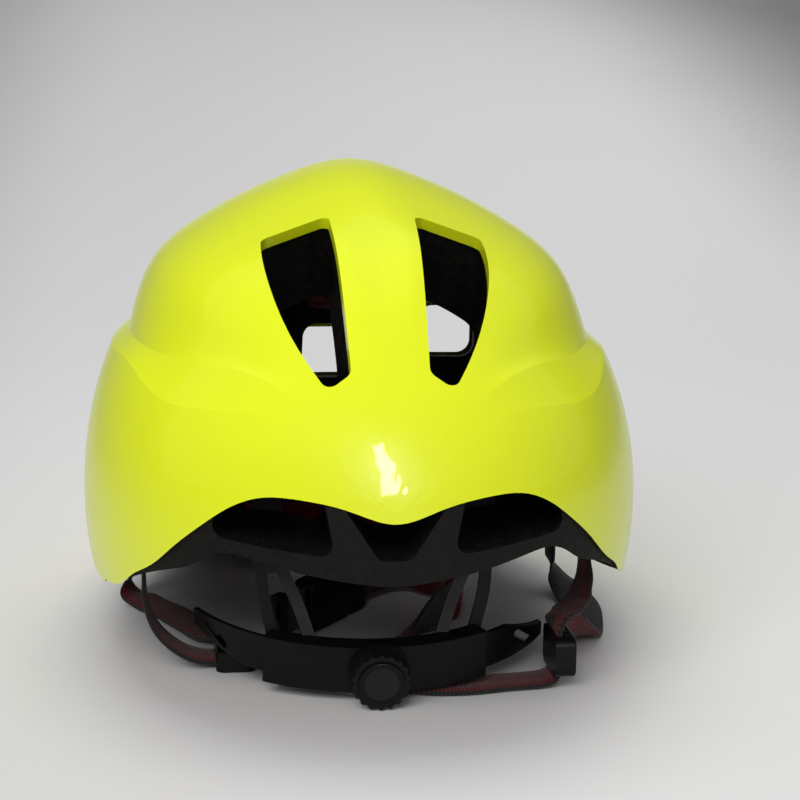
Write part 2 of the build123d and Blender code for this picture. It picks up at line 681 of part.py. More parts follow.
def arc_wall(inner, outer, low, high, start, end):
    """Curved wall round the bands' centre. Angles run from the rear towards +X."""
    with BuildSketch(Plane.XY.offset(low)) as outline:
        with BuildLine():
            near = CenterArc((0, 0), inner, start - 90, end - start)
            far = CenterArc((0, 0), outer, start - 90, end - start)
            Line(near @ 0, far @ 0)
            Line(near @ 1, far @ 1)
        make_face()
    return extrude(outline.sketch, high - low)


def radial_cylinder(radius, near, far):
    """Cylinder on the dial's axis between two distances from the bands' centre."""
    return Pos(0, -(near + far) / 2, 0) * Rot(90, 0, 0) * Cylinder(radius, far - near)


def layer_radii():
    """Radii of the cover, both bands and the frame's wall, from the outside in."""
    cover = FIT_RADIUS - COVER_THICK
    right = cover - BAND_GAP
    left = right - BAND_THICK - BAND_GAP
    wall = left - BAND_THICK - BAND_GAP
    return cover, right, left, wall


def make_frame():
    """Cradle frame: channel for the bands, and two forked stays with slots."""
    cover, right, left, wall = layer_radii()
    half = BAND_TALL / 2 + SEAT_GAP
    edge = half + FRAME_THICK
    reach = HOUSING_ANGLE / 2
    frame = arc_wall(wall - FRAME_THICK, wall, -edge, edge, -reach, reach)
    frame += arc_wall(wall - FRAME_THICK, cover - SEAT_GAP / 2, half, edge, -reach, reach)
    frame += arc_wall(wall - FRAME_THICK, cover - SEAT_GAP / 2, -edge, -half, -reach, reach)
    frame -= radial_cylinder(STUB_RADIUS + RUN_CLEARANCE, wall - OVERRUN, wall + FRAME_THICK)
    frame = fit_plane().location * frame
    right_stay = make_stay(wall - FRAME_THICK, edge)
    return frame + right_stay + mirrored(right_stay)


def make_stay(radius, edge):
    """Right stay: a slotted plate on two legs that stand on the frame's wall."""
    top = STUD_HEIGHT + STAY_WIDTH / 2
    tall = top - STAY_LOW
    plate = Pos(STAY_OFFSET, STAY_PLACE, STAY_LOW + tall / 2) * Box(STAY_WIDTH, STAY_THICK, tall)
    plate = fillet(plate.edges().filter_by(Axis.Y), STAY_WIDTH * 2 / 5)
    with BuildSketch(Plane.XZ) as slot:
        with Locations((STAY_OFFSET, STUD_HEIGHT - STAY_TRAVEL / 2)):
            SlotCenterToCenter(STAY_TRAVEL, STAY_SLOT, rotation=90)
    plate -= extrude(slot.sketch, -STAY_PLACE + OVERRUN)
    stay = plate
    for foot, head in ((LEG_INNER, STAY_OFFSET - STAY_WIDTH / 4), (LEG_OUTER, STAY_OFFSET + STAY_WIDTH / 4)):
        angle = asin(foot / radius)
        base = fit_plane().from_local_coords((foot, -radius * cos(angle), edge - FRAME_THICK))
        crown = (head, STAY_PLACE, STAY_LOW + STAY_WIDTH / 2)
        bulge = copysign(LEG_WIDTH / 4, foot - (LEG_INNER + LEG_OUTER) / 2)
        middle = ((foot + head) / 2 + bulge, (base.Y + STAY_PLACE) / 2, (base.Z + crown[2]) / 2)
        stay += ribbon((((base.X, base.Y, base.Z), ACROSS), (middle, ACROSS), (crown, ACROSS)), LEG_WIDTH, STAY_THICK)
    return stay


def make_cover():
    """Curved cover over the bands, with the dial's round base."""
    cover, right, left, wall = layer_radii()
    edge = BAND_TALL / 2 + SEAT_GAP + FRAME_THICK
    reach = HOUSING_ANGLE / 2
    shape = arc_wall(cover, FIT_RADIUS, -edge, edge, -reach, reach)
    base = radial_cylinder(DIAL_BASE_RADIUS, cover - COVER_THICK, FIT_RADIUS + DIAL_BASE_THICK)
    shape += base - Cylinder(cover, OVERRUN * 2)
    shape -= radial_cylinder(SHAFT_RADIUS + RUN_CLEARANCE, cover - OVERRUN, FIT_RADIUS + OVERRUN)
    return fit_plane().location * shape


def tooth_profile(half_thick, tip, root):
    """Flat sides of a rack or pinion tooth, as half widths at its tip and root."""
    return half_thick - tip * TOOTH_SLOPE, half_thick + root * TOOTH_SLOPE


def make_band(outer, turned):
    """A fit band with a rack in its slot. The turned one is the right one."""
    inner = outer - BAND_THICK
    middle = (inner + outer) / 2
    half = BAND_TALL / 2
    pitch_radius = PINION_MODULE * PINION_TEETH / 2
    pitch = pi * PINION_MODULE
    root = PINION_MODULE * 5 / 4
    tip = PINION_MODULE * 4 / 5
    near = pitch_radius + root
    far = near + BAND_TRAVEL
    near_angle = degrees(near / middle)
    far_angle = degrees(far / middle)
    end_angle = degrees((near + BAND_TALL / 3) / middle)
    band = arc_wall(inner, outer, -half, half, -BAND_REACH, end_angle)
    band -= arc_wall(inner - OVERRUN, outer + OVERRUN, -pitch_radius - root, pitch_radius + root, -far_angle,
                     near_angle)
    narrow, wide = tooth_profile(pitch / 4 - RACK_BACKLASH / 2, tip, root)
    count = int((far + near) / pitch) - 1
    with BuildSketch(Plane.XZ) as tooth:
        with BuildLine():
            Polyline(
                (-wide, pitch_radius + root * 3 / 2),
                (-wide, pitch_radius + root),
                (-narrow, pitch_radius - tip),
                (narrow, pitch_radius - tip),
                (wide, pitch_radius + root),
                (wide, pitch_radius + root * 3 / 2),
                close=True,
            )
        make_face()
    blank = extrude(tooth.sketch, outer + OVERRUN) & (Cylinder(outer, BAND_TALL) - Cylinder(inner, BAND_TALL))
    for step in range(count):
        band += Rot(0, 0, degrees((1 - step) * pitch / middle)) * blank
    band -= band_slope(outer)
    band -= band_slit(outer)
    if turned:
        band = Rot(0, 180, 0) * band
    return fit_plane().location * band


def band_slope(outer):
    """Cut that draws the band's lower edge up towards its tip."""
    half = BAND_TALL / 2
    with BuildSketch(Plane.XZ) as outline:
        with BuildLine():
            Polyline(
                (-BAND_SLOPE_INNER, -half),
                (-BAND_SLOPE_OUTER, -half + BAND_SLOPE_RISE),
                (-BAND_SLOPE_OUTER, -half - BAND_TALL),
                (-BAND_SLOPE_INNER, -half - BAND_TALL),
                close=True,
            )
        make_face()
    return extrude(outline.sketch, outer)


def band_slit(outer):
    with BuildSketch(Plane.XZ) as outline:
        with Locations((-BAND_SLIT_PLACE, BAND_SLIT_WIDTH / 2)):
            SlotOverall(BAND_SLIT_LENGTH, BAND_SLIT_WIDTH, rotation=-45)
    return extrude(outline.sketch, outer)


def make_pinion():
    """Pinion in both racks, with its inner stub, shaft and square drive."""
    cover, right, left, wall = layer_radii()
    near = wall + BAND_GAP / 2
    far = cover - BAND_GAP / 2
    pitch_radius = PINION_MODULE * PINION_TEETH / 2
    root = PINION_MODULE * 5 / 4
    tip = PINION_MODULE * 4 / 5
    narrow, wide = tooth_profile(pi * PINION_MODULE / 4 - RACK_BACKLASH / 2, tip, root)
    with BuildSketch(Plane.XZ.offset(near)) as gear:
        Circle(pitch_radius - root)
        with BuildLine():
            Polyline(
                (-wide, pitch_radius / 2),
                (-wide, pitch_radius - root),
                (-narrow, pitch_radius + tip),
                (narrow, pitch_radius + tip),
                (wide, pitch_radius - root),
                (wide, pitch_radius / 2),
                close=True,
            )
        tooth = make_face(mode=Mode.PRIVATE)
        with PolarLocations(0, PINION_TEETH, start_angle=180 / PINION_TEETH):
            add(tooth)
    shape = extrude(gear.sketch, far - near) + radial_cylinder(STUB_RADIUS, wall - FRAME_THICK, near)
    base = FIT_RADIUS + DIAL_BASE_THICK
    shape += radial_cylinder(SHAFT_RADIUS, far, base)
    drive = Pos(0, -base - DRIVE_DEEP / 2, 0) * Box(DRIVE_ACROSS, DRIVE_DEEP, DRIVE_ACROSS)
    shape += drive
    shape -= radial_cylinder(SCREW_RADIUS + RUN_CLEARANCE, base, base + DRIVE_DEEP + OVERRUN)
    return fit_plane().location * shape


def dial_start():
    return FIT_RADIUS + DIAL_BASE_THICK + SEAT_GAP


def make_knob():
    """Knob's hard core: square socket, spring recess, screw seat and cap recess."""
    near = dial_start()
    far = near + DIAL_DEEP
    core = DIAL_RADIUS - GRIP_WALL
    shape = radial_cylinder(core, near, far)
    shape = fillet(shape.edges().group_by(Axis.Y)[0], CAP_THICK / 2)
    spring_seat = radial_cylinder(SPRING_RADIUS + SEAT_GAP, near - OVERRUN, near + SPRING_THICK * 2)
    shape -= spring_seat - radial_cylinder(SPRING_HOLE - SEAT_GAP, near - OVERRUN, far)
    socket = DRIVE_ACROSS + RUN_CLEARANCE * 2
    depth = DRIVE_DEEP + SEAT_GAP
    shape -= Pos(0, -near - (depth - OVERRUN) / 2, 0) * Box(socket, depth + OVERRUN, socket)
    shape -= radial_cylinder(SCREW_RADIUS + RUN_CLEARANCE * 2, near, far)
    shape -= radial_cylinder(SCREW_HEAD_RADIUS + SEAT_GAP, far - CAP_THICK - SCREW_HEAD_THICK - SEAT_GAP, far)
    shape -= radial_cylinder(CAP_RADIUS + RUN_CLEARANCE, far - CAP_THICK, far + OVERRUN)
    return fit_plane().location * shape


def make_grip():
    """Soft scalloped ring round the knob."""
    near = dial_start()
    far = near + DIAL_DEEP
    inner = DIAL_RADIUS - GRIP_WALL + BOND_GAP
    with BuildSketch(Plane.XZ.offset(near)) as outline:
        Circle(DIAL_RADIUS)
        with PolarLocations(DIAL_RADIUS + DIAL_GRIP_DEPTH, DIAL_GRIPS):
            Circle(DIAL_GRIP_DEPTH * 2, mode=Mode.SUBTRACT)
        Circle(inner, mode=Mode.SUBTRACT)
    return fit_plane().location * extrude(outline.sketch, far - CAP_THICK - near)


def make_cap():
    far = dial_start() + DIAL_DEEP
    return fit_plane().location * radial_cylinder(CAP_RADIUS, far - CAP_THICK + BOND_GAP, far)


def make_screw():
    far = dial_start() + DIAL_DEEP - CAP_THICK
    head = radial_cylinder(SCREW_HEAD_RADIUS, far - SCREW_HEAD_THICK - BOND_GAP, far - BOND_GAP)
    shank = radial_cylinder(SCREW_RADIUS, FIT_RADIUS + DIAL_BASE_THICK + DRIVE_DEEP / 4, far - SCREW_HEAD_THICK)
    return fit_plane().location * (head + shank)


def make_spring():
    near = dial_start()
    ring = radial_cylinder(SPRING_RADIUS, near, near + SPRING_THICK)
    ring -= radial_cylinder(SPRING_HOLE, near - OVERRUN, near + OVERRUN)
    return fit_plane().location * ring


def make_nape_pad():
    """Right soft pad on the inside of the frame."""
    cover, right, left, wall = layer_radii()
    outer = wall - FRAME_THICK - SEAT_GAP
    edge = BAND_TALL / 2 - SEAT_GAP * 2
    reach = HOUSING_ANGLE / 2
    pad = arc_wall(outer - PAD_THICK + PAD_EDGE, outer, -edge, edge, reach / 4, reach)
    pad = fillet(pad.edges().filter_by(GeomType.LINE).filter_by(Axis.Z), PAD_EDGE)
    return fit_plane().location * pad


def heading(before, here, after):
    """Direction of a route at a point, led by the nearer neighbour."""
    back = (here - before).length
    ahead = (after - here).length
    return ((here - before) * (ahead / back) + (after - here) * (back / ahead)).normalized()


def smooth_route(stops):
    """Places and width directions in short steps along a curve through the stops."""
    points = [Vector(*point) for point, across in stops]
    ways = [Vector(*across).normalized() for point, across in stops]
    ends = [points[0] * 2 - points[1]] + points + [points[-1] * 2 - points[-2]]
    places = []
    for step, (here, there) in enumerate(zip(points, points[1:])):
        span = (there - here).length
        leave = heading(ends[step], here, there) * span
        arrive = heading(here, there, ends[step + 3]) * span
        count = max(1, round(span / STRAP_STEP))
        for part in range(count):
            t = part / count
            place = here * (1 - 3 * t * t + 2 * t ** 3) + leave * (t - 2 * t * t + t ** 3)
            place = place + there * (3 * t * t - 2 * t ** 3) + arrive * (t ** 3 - t * t)
            places.append((place, ways[step] * (1 - t) + ways[step + 1] * t))
    places.append((points[-1], ways[-1]))
    return places


def ribbon(stops, wide, thick):
    """Webbing through stops: each is a centre point and the way its width lies."""
    places = smooth_route(stops)
    faces = []
    for step, (point, across) in enumerate(places):
        before = places[max(step - 1, 0)][0]
        after = places[min(step + 1, len(places) - 1)][0]
        ahead = (after - before).normalized()
        side = across - ahead * across.dot(ahead)
        faces.append(Plane(origin=point, x_dir=side.normalized(), z_dir=ahead) * Rectangle(wide, thick))
    return loft(faces, ruled=True)


def make_strap(route):
    return ribbon(route, STRAP_WIDTH, STRAP_THICK)


def strap_room(route):
    return ribbon(route, STRAP_WIDTH + STRAP_ROOM * 2, STRAP_THICK + STRAP_ROOM * 2)


def make_divider(place, standing):
    """Divider that holds a rear strap and, crossed over it, the end of a front strap."""
    wide = STRAP_WIDTH + STRAP_ROOM * 2
    thick = STRAP_THICK + STRAP_ROOM * 2
    plate = Box(DIVIDER_LENGTH, DIVIDER_WIDTH, DIVIDER_THICK)
    plate = fillet(plate.edges().filter_by(Axis.Z), DIVIDER_CORNER)
    plate = fillet(plate.edges().group_by(Axis.Z)[-1], BUCKLE_EDGE)
    plate -= Pos(0, 0, -DIVIDER_LAYER) * Box(OVERRUN, wide, thick)
    plate -= Pos(0, DIVIDER_WIDTH / 2, DIVIDER_LAYER) * Box(OVERRUN, DIVIDER_WIDTH + DIVIDER_STOP * 2, thick)
    if standing:
        plate = Rot(0, 90, 0) * plate
    return Pos(place) * plate


def make_chin_pad():
    """Soft sleeve on the strap under the chin."""
    sleeve = ribbon(HOOK_ROUTE, CHIN_PAD_WIDTH, CHIN_PAD_THICK)
    return sleeve - strap_room(REAR_RIGHT_ROUTE)


def buckle_plane():
    """Plane along the buckle: X along it, Y up its width, Z through its thickness."""
    turn = radians(BUCKLE_TURN)
    return Plane(origin=BUCKLE_PLACE, x_dir=(cos(turn), sin(turn), 0), z_dir=(sin(turn), -cos(turn), 0))


def buckle_block(start, long, wide, thick):
    return Pos(start + long / 2, 0, 0) * Box(long, wide, thick)


def make_female():
    """Buckle's female half: strap pocket, cavity for the prongs, and two side windows."""
    shape = buckle_block(0.0, FEMALE_LENGTH, BUCKLE_WIDTH, BUCKLE_THICK)
    shape = fillet(shape.edges().filter_by(Axis.Z), BUCKLE_CORNER)
    shape = fillet(shape.edges().group_by(Axis.Z)[0] + shape.edges().group_by(Axis.Z)[-1], BUCKLE_EDGE)
    shape -= buckle_block(-OVERRUN, OVERRUN + BUCKLE_POCKET, STRAP_WIDTH + STRAP_ROOM * 2,
                          STRAP_THICK + STRAP_ROOM * 2)
    shape -= buckle_block(CAVITY_FLOOR, FEMALE_LENGTH, CAVITY_WIDTH, CAVITY_TALL)
    shape -= buckle_block(WINDOW_START, WINDOW_LENGTH, BUCKLE_WIDTH + OVERRUN, CAVITY_TALL)
    return buckle_plane().location * shape


def make_male():
    """Buckle's male half: body with strap pocket, two barbed prongs and a guide."""
    start = FEMALE_LENGTH + SEAT_GAP
    tall = CAVITY_TALL - SEAT_GAP * 2
    shape = buckle_block(start, MALE_LENGTH, BUCKLE_WIDTH, MALE_THICK)
    shape = fillet(shape.edges().filter_by(Axis.Z), BUCKLE_CORNER)
    shape = fillet(shape.edges().group_by(Axis.Z)[0] + shape.edges().group_by(Axis.Z)[-1], BUCKLE_EDGE)
    shape -= buckle_block(start + MALE_LENGTH - BUCKLE_POCKET, OVERRUN, STRAP_WIDTH + STRAP_ROOM * 2,
                          STRAP_THICK + STRAP_ROOM * 2)
    reach = PRONG_LENGTH + BUCKLE_CORNER
    prong_place = CAVITY_WIDTH / 2 - SEAT_GAP - BARB_WIDTH - PRONG_WIDTH / 2
    tip = start - PRONG_LENGTH
    prong = Pos(0, prong_place, 0) * buckle_block(tip, reach, PRONG_WIDTH, tall)
    with BuildSketch(Plane.XY.offset(-tall / 2)) as barb:
        with BuildLine():
            Polyline(
                (tip, prong_place),
                (tip + BARB_LENGTH, prong_place + PRONG_WIDTH / 2 + BARB_WIDTH),
                (tip + BARB_LENGTH, prong_place),
                close=True,
            )
        make_face()
    prong += extrude(barb.sketch, tall)
    shape += prong + prong.mirror(Plane.XZ)
    shape += buckle_block(tip, reach, GUIDE_WIDTH, tall)
    return buckle_plane().location * shape


def make_keeper():
    """Ring that holds the loose strap end and slides along the strap."""
    wide = STRAP_WIDTH + STRAP_ROOM * 2
    thick = STRAP_THICK + STRAP_ROOM * 2
    ring = buckle_block(-KEEPER_PLACE, KEEPER_LENGTH, wide + KEEPER_WALL * 2, thick + KEEPER_WALL * 2)
    ring = fillet(ring.edges().filter_by(Axis.X), KEEPER_WALL)
    ring -= buckle_block(-KEEPER_PLACE - OVERRUN, OVERRUN * 2, wide, thick)
    return buckle_plane().location * ring


def make_parts():
    """Every separate piece by its name."""
    cover, right, left, wall = layer_radii()
    crown_right = make_pad(side_crown_prism(SIDE_PAD_WIDTH, SIDE_PAD_LENGTH, PAD_CORNER))
    temple_right = make_pad(temple_prism(TEMPLE_PAD_LENGTH, TEMPLE_PAD_TALL, PAD_CORNER))
    nape_right = make_nape_pad()
    return {
        "outer_shell": make_shell(),
        "foam_liner": make_foam(),
        "brow_pad": make_pad(brow_prism()),
        "crown_pad_center": make_pad(crown_prism(CENTRE_PAD_WIDTH, CENTRE_PAD_LENGTH, PAD_CORNER, CENTRE_PAD_PLACE)),
        "crown_pad_right": crown_right,
        "crown_pad_left": mirrored(crown_right),
        "side_pad_right": temple_right,
        "side_pad_left": mirrored(temple_right),
        "pad_patches": make_patches(),
        "strap_anchor_rear": make_anchors(REAR_SLOT_PLACE, REAR_SLOT_LEVELS),
        "strap_anchor_front": make_anchors(FRONT_SLOT_PLACE, FRONT_SLOT_LEVELS),
        "adjuster_anchors": make_stay_anchors(),
        "cradle_frame": make_frame(),
        "cradle_cover": make_cover(),
        "occipital_pad_right": nape_right,
        "occipital_pad_left": mirrored(nape_right),
        "band_left": make_band(left, False),
        "band_right": make_band(right, True),
        "dial_pinion": make_pinion(),
        "dial_knob": make_knob(),
        "dial_grip": make_grip(),
        "dial_cap": make_cap(),
        "dial_screw": make_screw(),
        "detent_spring": make_spring(),
        "rear_strap_left": make_strap(REAR_LEFT_ROUTE),
        "front_strap_left": make_strap(FRONT_LEFT_ROUTE),
        "rear_strap_right": make_strap(REAR_RIGHT_ROUTE),
        "front_strap_right": make_strap(FRONT_RIGHT_ROUTE),
        "divider_left": make_divider(DIVIDER_LEFT_PLACE, False),
        "divider_right": make_divider(DIVIDER_RIGHT_PLACE, True),
        "chin_pad": make_chin_pad(),
        "buckle_female": make_female(),
        "buckle_male": make_male(),
        "strap_keeper": make_keeper(),
    }


if __name__ == "__main__":
    os.makedirs("parts", exist_ok=True)
    for name, shape in make_parts().items():
        export_step(shape, f"parts/{name}.step")
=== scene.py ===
from math import cos, exp, pi, radians, sin, sqrt

import bmesh
import bpy
from mathutils import Matrix, Vector


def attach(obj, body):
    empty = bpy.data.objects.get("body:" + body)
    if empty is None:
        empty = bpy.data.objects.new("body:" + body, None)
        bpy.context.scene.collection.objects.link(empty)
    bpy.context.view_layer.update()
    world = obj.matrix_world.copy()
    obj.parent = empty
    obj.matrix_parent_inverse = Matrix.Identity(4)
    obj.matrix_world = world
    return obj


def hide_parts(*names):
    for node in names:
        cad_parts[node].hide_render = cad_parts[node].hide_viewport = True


# Looks of the aero cycling helmet. +X is the rider's right, +Y the front, +Z up. Lengths
# are in millimetres, turned into Blender's metres by MM, and angles in degrees. The stage,
# the lamps and the materials' textures are in metres from the start.

MM = 0.001

# Camera, behind the helmet and a little to its left
CAMERA_TARGET = (0.0, 0.0, 90.0)
CAMERA_YAW = 5.6
CAMERA_PITCH = 10.6
CAMERA_ROLL = 0.3
CAMERA_DISTANCE = 698.0
CAMERA_LENS = 82.3
CAMERA_SHIFT = (0.06, -0.0128)

# Head space of the foam, an upper half ellipsoid on a straight skirt
HEAD_HALF_WIDTH = 77.0
HEAD_HALF_LENGTH = 99.0
HEAD_HEIGHT = 101.0
HEAD_LEVEL = 45.0
HEAD_PLACE = 2.0

# Pads
PAD_SEAT = 1.1
PAD_THICK = 5.0
PAD_CORNER = 6.0
PAD_FLANGE = 0.9
PAD_RINGS = 26
PAD_SPOKES = 120
PAD_BACK_RINGS = (1.0, 0.5)
PAD_CHANNEL_SPREAD = 1.6
NAPE_CHANNEL_SPREAD = 1.2

# Profile of a pad from its middle to its edge: the share of the way where its flange
# starts, and how its crown stays flat and then rounds off
PAD_CROWN_SHARE = 0.93
PAD_CROWN_FLATNESS = 3.2
PAD_CROWN_ROUNDNESS = 0.55
PAD_CHANNEL_DEPTH_SHARE = 0.42

# Half lengths and half widths of the pads, where they lie in the head space, and where
# their sewn channels cross them
CENTRE_PAD_HALVES = (52, 12)
CENTRE_PAD_PLACE = 22.0
CENTRE_PAD_CHANNELS = (-26, 0, 26)
CROWN_PAD_HALVES = (38, 10)
CROWN_PAD_OFFSET = 46.0
CROWN_PAD_PLACE = 6.0
CROWN_PAD_CHANNELS = (-19, 0, 19)
CROWN_PAD_START_DEPTH = 30
TEMPLE_PAD_HALVES = (31, 9)
TEMPLE_PAD_LEVEL = 61.0
TEMPLE_PAD_CHANNELS = (-12, 12)
BROW_PAD_RADIUS = 88.0
BROW_PAD_REACH = 52
BROW_PAD_HALF_WIDTH = 10
BROW_PAD_LEVEL = 22.0
BROW_PAD_CHANNELS = (-44, -15, 15, 44)

# Arcs of the cradle round the tilted fit axis, with angles from the rear
FIT_TILT = 8.0
FIT_CENTRE_RADIUS = 75.1
FIT_PLACE = -97.1
FIT_HEIGHT = 11.7
NAPE_RADIUS = 67.5
NAPE_THICK = 3.6
NAPE_HALF_TALL = 5.9
NAPE_PAD_CHANNELS = (0,)
NAPE_START = 7.75
NAPE_END = 31.0

# Straps
STRAP_WIDTH = 15.0
STRAP_THICK = 1.4
STRAP_EDGE = 0.5
STRAP_STEP = 1.5
CHIN_PAD_WIDTH = 18.0
CHIN_PAD_THICK = 7.0
CHIN_PAD_STEPS = 40
CHIN_PAD_FLATNESS = 0.8

# How squarely a face of a strap has to look inwards to take the inner face's colour
INNER_FACE_SHARE = 0.8

# Routes of the straps, as in the model: points, and the way the webbing's width lies
ACROSS = (1, 0, 0)
FLAT = (0, 1, 0)
EDGE = (0, 0, 1)
DOWN = (0, 0, -1)
REAR_LEFT_ROUTE = (
    ((-79, -56, 53.85), FLAT), ((-79, -56, 34), FLAT), ((-79, -56, 31), FLAT), ((-78, -56, 23), FLAT),
    ((-75, -55.5, 15.5), FLAT), ((-70, -54.5, 9.5), FLAT), ((-63.5, -53, 4.8), FLAT),
    ((-57, -51.7, 2.7), FLAT), ((-54, -51.5, 2.5), FLAT), ((-52, -51.5, 2.5), FLAT),
    ((-42, -51.5, 2.5), FLAT), ((-39, -51.4, 2.5), FLAT), ((-36.2, -50.4, 3.7), (-0.62, 0.78, -0.05)),
    ((-34.4, -46.2, 6.8), (-0.5, 0.5, -0.7)), ((-33.9, -40.8, 10), (-0.15, 0.1, -1)),
    ((-32.3, -36.4, 10.5), DOWN), ((-29.3, -32.4, 10.5), DOWN), ((-23.9, -25.2, 10.5), DOWN),
    ((-17, -16, 10.5), DOWN),
)
FRONT_LEFT_ROUTE = (
    ((-85, 31, 43.85), FLAT), ((-85, 31, 16), FLAT), ((-85, 31, 13), FLAT), ((-86.2, 30.4, 8), FLAT),
    ((-85.2, 28, 4.0), (0.3, 0.95, 0)), ((-80, 21, 1.8), (0.7, 0.7, 0)),
    ((-70, 6, 1.3), (0.85, 0.5, 0)), ((-61, -12, 1.4), (0.9, 0.42, 0)),
    ((-54, -27, 2.2), (0.93, 0.36, 0)), ((-49.4, -35, 4.4), (0.97, 0.25, 0)),
    ((-47.2, -40.5, 5.5), ACROSS), ((-47, -43, 5.5), ACROSS), ((-47, -53, 5.5), ACROSS),
)
HOOK_ROUTE = (
    ((38, -12, 10), EDGE), ((41, 4, 10), EDGE), ((38, 18, 10), EDGE), ((30, 27, 10), EDGE),
)
REAR_RIGHT_ROUTE = (
    ((79, -56, 53.85), FLAT), ((79, -56, 44), FLAT), ((79, -56, 41), FLAT), ((78.2, -59, 33.5), FLAT),
    ((74, -67, 27), FLAT), ((68.8, -75.5, 24.2), FLAT), ((65, -80.2, 22), FLAT),
    ((64, -81, 19.5), FLAT), ((64, -81, 17), FLAT), ((64, -81, 7), FLAT), ((63.9, -81, 5), FLAT),
    ((62.8, -81, 3), FLAT), ((60, -81.5, 1.9), FLAT), ((55, -82, 1.4), FLAT), ((46, -83, 1.3), FLAT),
    ((30, -86, 1.3), FLAT), ((16, -84, 1.3), (0.4, 0.9, 0)), ((8, -76, 1.1), (0.85, 0.5, 0)),
    ((6, -64, 1.8), (1, 0, 0)), ((10, -52, 4.6), (0.85, -0.45, 0.3)),
    ((19, -40, 8.4), (0.5, -0.35, 0.8)), ((30, -27, 10), EDGE),
) + HOOK_ROUTE + (
    ((20, 28.5, 10.3), EDGE), ((11.5, 21.5, 10.5), EDGE), ((6.5, 15.3, 10.5), EDGE),
    ((0.6, 7.4, 10.5), EDGE),
)
FRONT_RIGHT_ROUTE = (
    ((85, 31, 43.85), FLAT), ((85, 31, 16), FLAT), ((85, 31, 13), FLAT),
    ((87.5, 29, 7.5), (0.35, 0.93, 0)), ((91, 20, 2.4), (0.9, 0.4, 0)), ((92, 5, 1.3), (1, 0, 0)),
    ((89, -15, 1.3), (0.98, -0.15, 0)), ((84, -34, 1.8), (0.95, -0.3, 0)),
    ((79, -45, 5.5), (0.7, -0.4, 0.6)), ((73.5, -55, 10), (0.25, -0.15, 0.95)), ((69, -63, 12), EDGE),
    ((67.2, -69, 12), EDGE), ((67, -72, 12), EDGE), ((67, -82.5, 12), EDGE),
)

# Colours
NEON = (0.77, 0.86, 0.010, 1)
NEON_DEEP = (0.70, 0.80, 0.006, 1)
FOAM_DARK = (0.002, 0.002, 0.002, 1)
FOAM_LIGHT = (0.009, 0.008, 0.007, 1)
RED = (0.17, 0.003, 0.008, 1)
RED_DARK = (0.07, 0.001, 0.003, 1)
WEB_BLACK = (0.006, 0.006, 0.006, 1)
WEB_GREY = (0.018, 0.017, 0.017, 1)
PLASTIC_BLACK = (0.003, 0.003, 0.003, 1)
PLASTIC_WORN = (0.007, 0.007, 0.007, 1)
RUBBER = (0.004, 0.004, 0.004, 1)
RUBBER_DUSTY = (0.010, 0.010, 0.010, 1)
CAP_GREY = (0.010, 0.010, 0.010, 1)
CAP_LIGHT = (0.018, 0.018, 0.018, 1)
NYLON = (0.62, 0.61, 0.57, 1)
NYLON_DEEP = (0.52, 0.51, 0.46, 1)
STEEL = (0.52, 0.52, 0.53, 1)
STEEL_DARK = (0.36, 0.36, 0.38, 1)
# Floor: colour of the painted light round the helmet, and of the painted shade further out
FLOOR_PAINTED_LIGHT = (0.71, 0.705, 0.71, 1)
FLOOR_PAINTED_SHADE = (0.32, 0.315, 0.315, 1)

# Bead foam: beads to a metre, how far their seams wander, and how wide their rounded edges are
BEAD_SCALE = 520.0
BEAD_WANDER = 0.0025
BEAD_CROWN_SHARE = 0.22

# Least and most roughness, outright or as shares of the material's own
FOAM_ROUGHNESS = (0.55, 0.8)
FABRIC_ROUGHNESS = (0.75, 0.98)
WEBBING_ROUGHNESS = (0.65, 0.9)
GLOSS_ROUGHNESS_SHARES = (0.8, 1.25)
PLASTIC_ROUGHNESS_SHARES = (0.8, 1.2)
METAL_ROUGHNESS_SHARES = (0.7, 1.3)

# How much finer the ripple and the fluff are than the drift and the knit they lie on
RIPPLE_FINENESS = 40
FLUFF_FINENESS = 4

# Places of the vector sockets on the mix node, whose names it repeats for each kind of data
MIX_VECTOR_INPUTS = (4, 5)
MIX_VECTOR_OUTPUT = 1

# Stage, in metres
STAGE_HALF_WIDTH = 9.0
STAGE_NEAR = -12.0
STAGE_FAR = 0.6
STAGE_SWEEP_RADIUS = 2.4
STAGE_SWEEP_STEPS = 16
STAGE_HEIGHT = 3.4

# Painted pool of light on the floor round the helmet, fading to painted shade further out like a
# vignette: shift and scale of its gradient, and where that fades
PAINTED_LIGHT_POOL_SHIFT = (-0.2, -0.3, 0.0)
PAINTED_LIGHT_POOL_SCALE = (1.3, 0.3, 0.5)
PAINTED_LIGHT_POOL_FADE = (0.12, 0.62)

# Light: places and sizes in metres, power in watts
SKY_COLOUR = (0.98, 0.985, 1.0, 1)
SKY_STRENGTH = 0.37
LAMP_AIM = (0, 0, 0.09)
LAMPS = (
    {"name": "key", "place": (-0.6, -1.35, 1.15), "size": (1.2, 0.9), "power": 21.0,
     "colour": (1.0, 0.98, 0.95)},
    {"name": "strip", "place": (0.08, -1.5, 0.62), "size": (0.13, 0.8), "power": 9.0,
     "mirrored": True, "roll": 12.0},
    {"name": "top", "place": (-0.1, 0.3, 1.7), "size": (1.3, 1.1), "power": 12.0},
    {"name": "fill", "place": (0.7, 1.3, 0.9), "size": (1.2, 0.8), "power": 4.0},
)


def metres(point):
    """Blender's point for one in millimetres."""
    return Vector(point) * MM


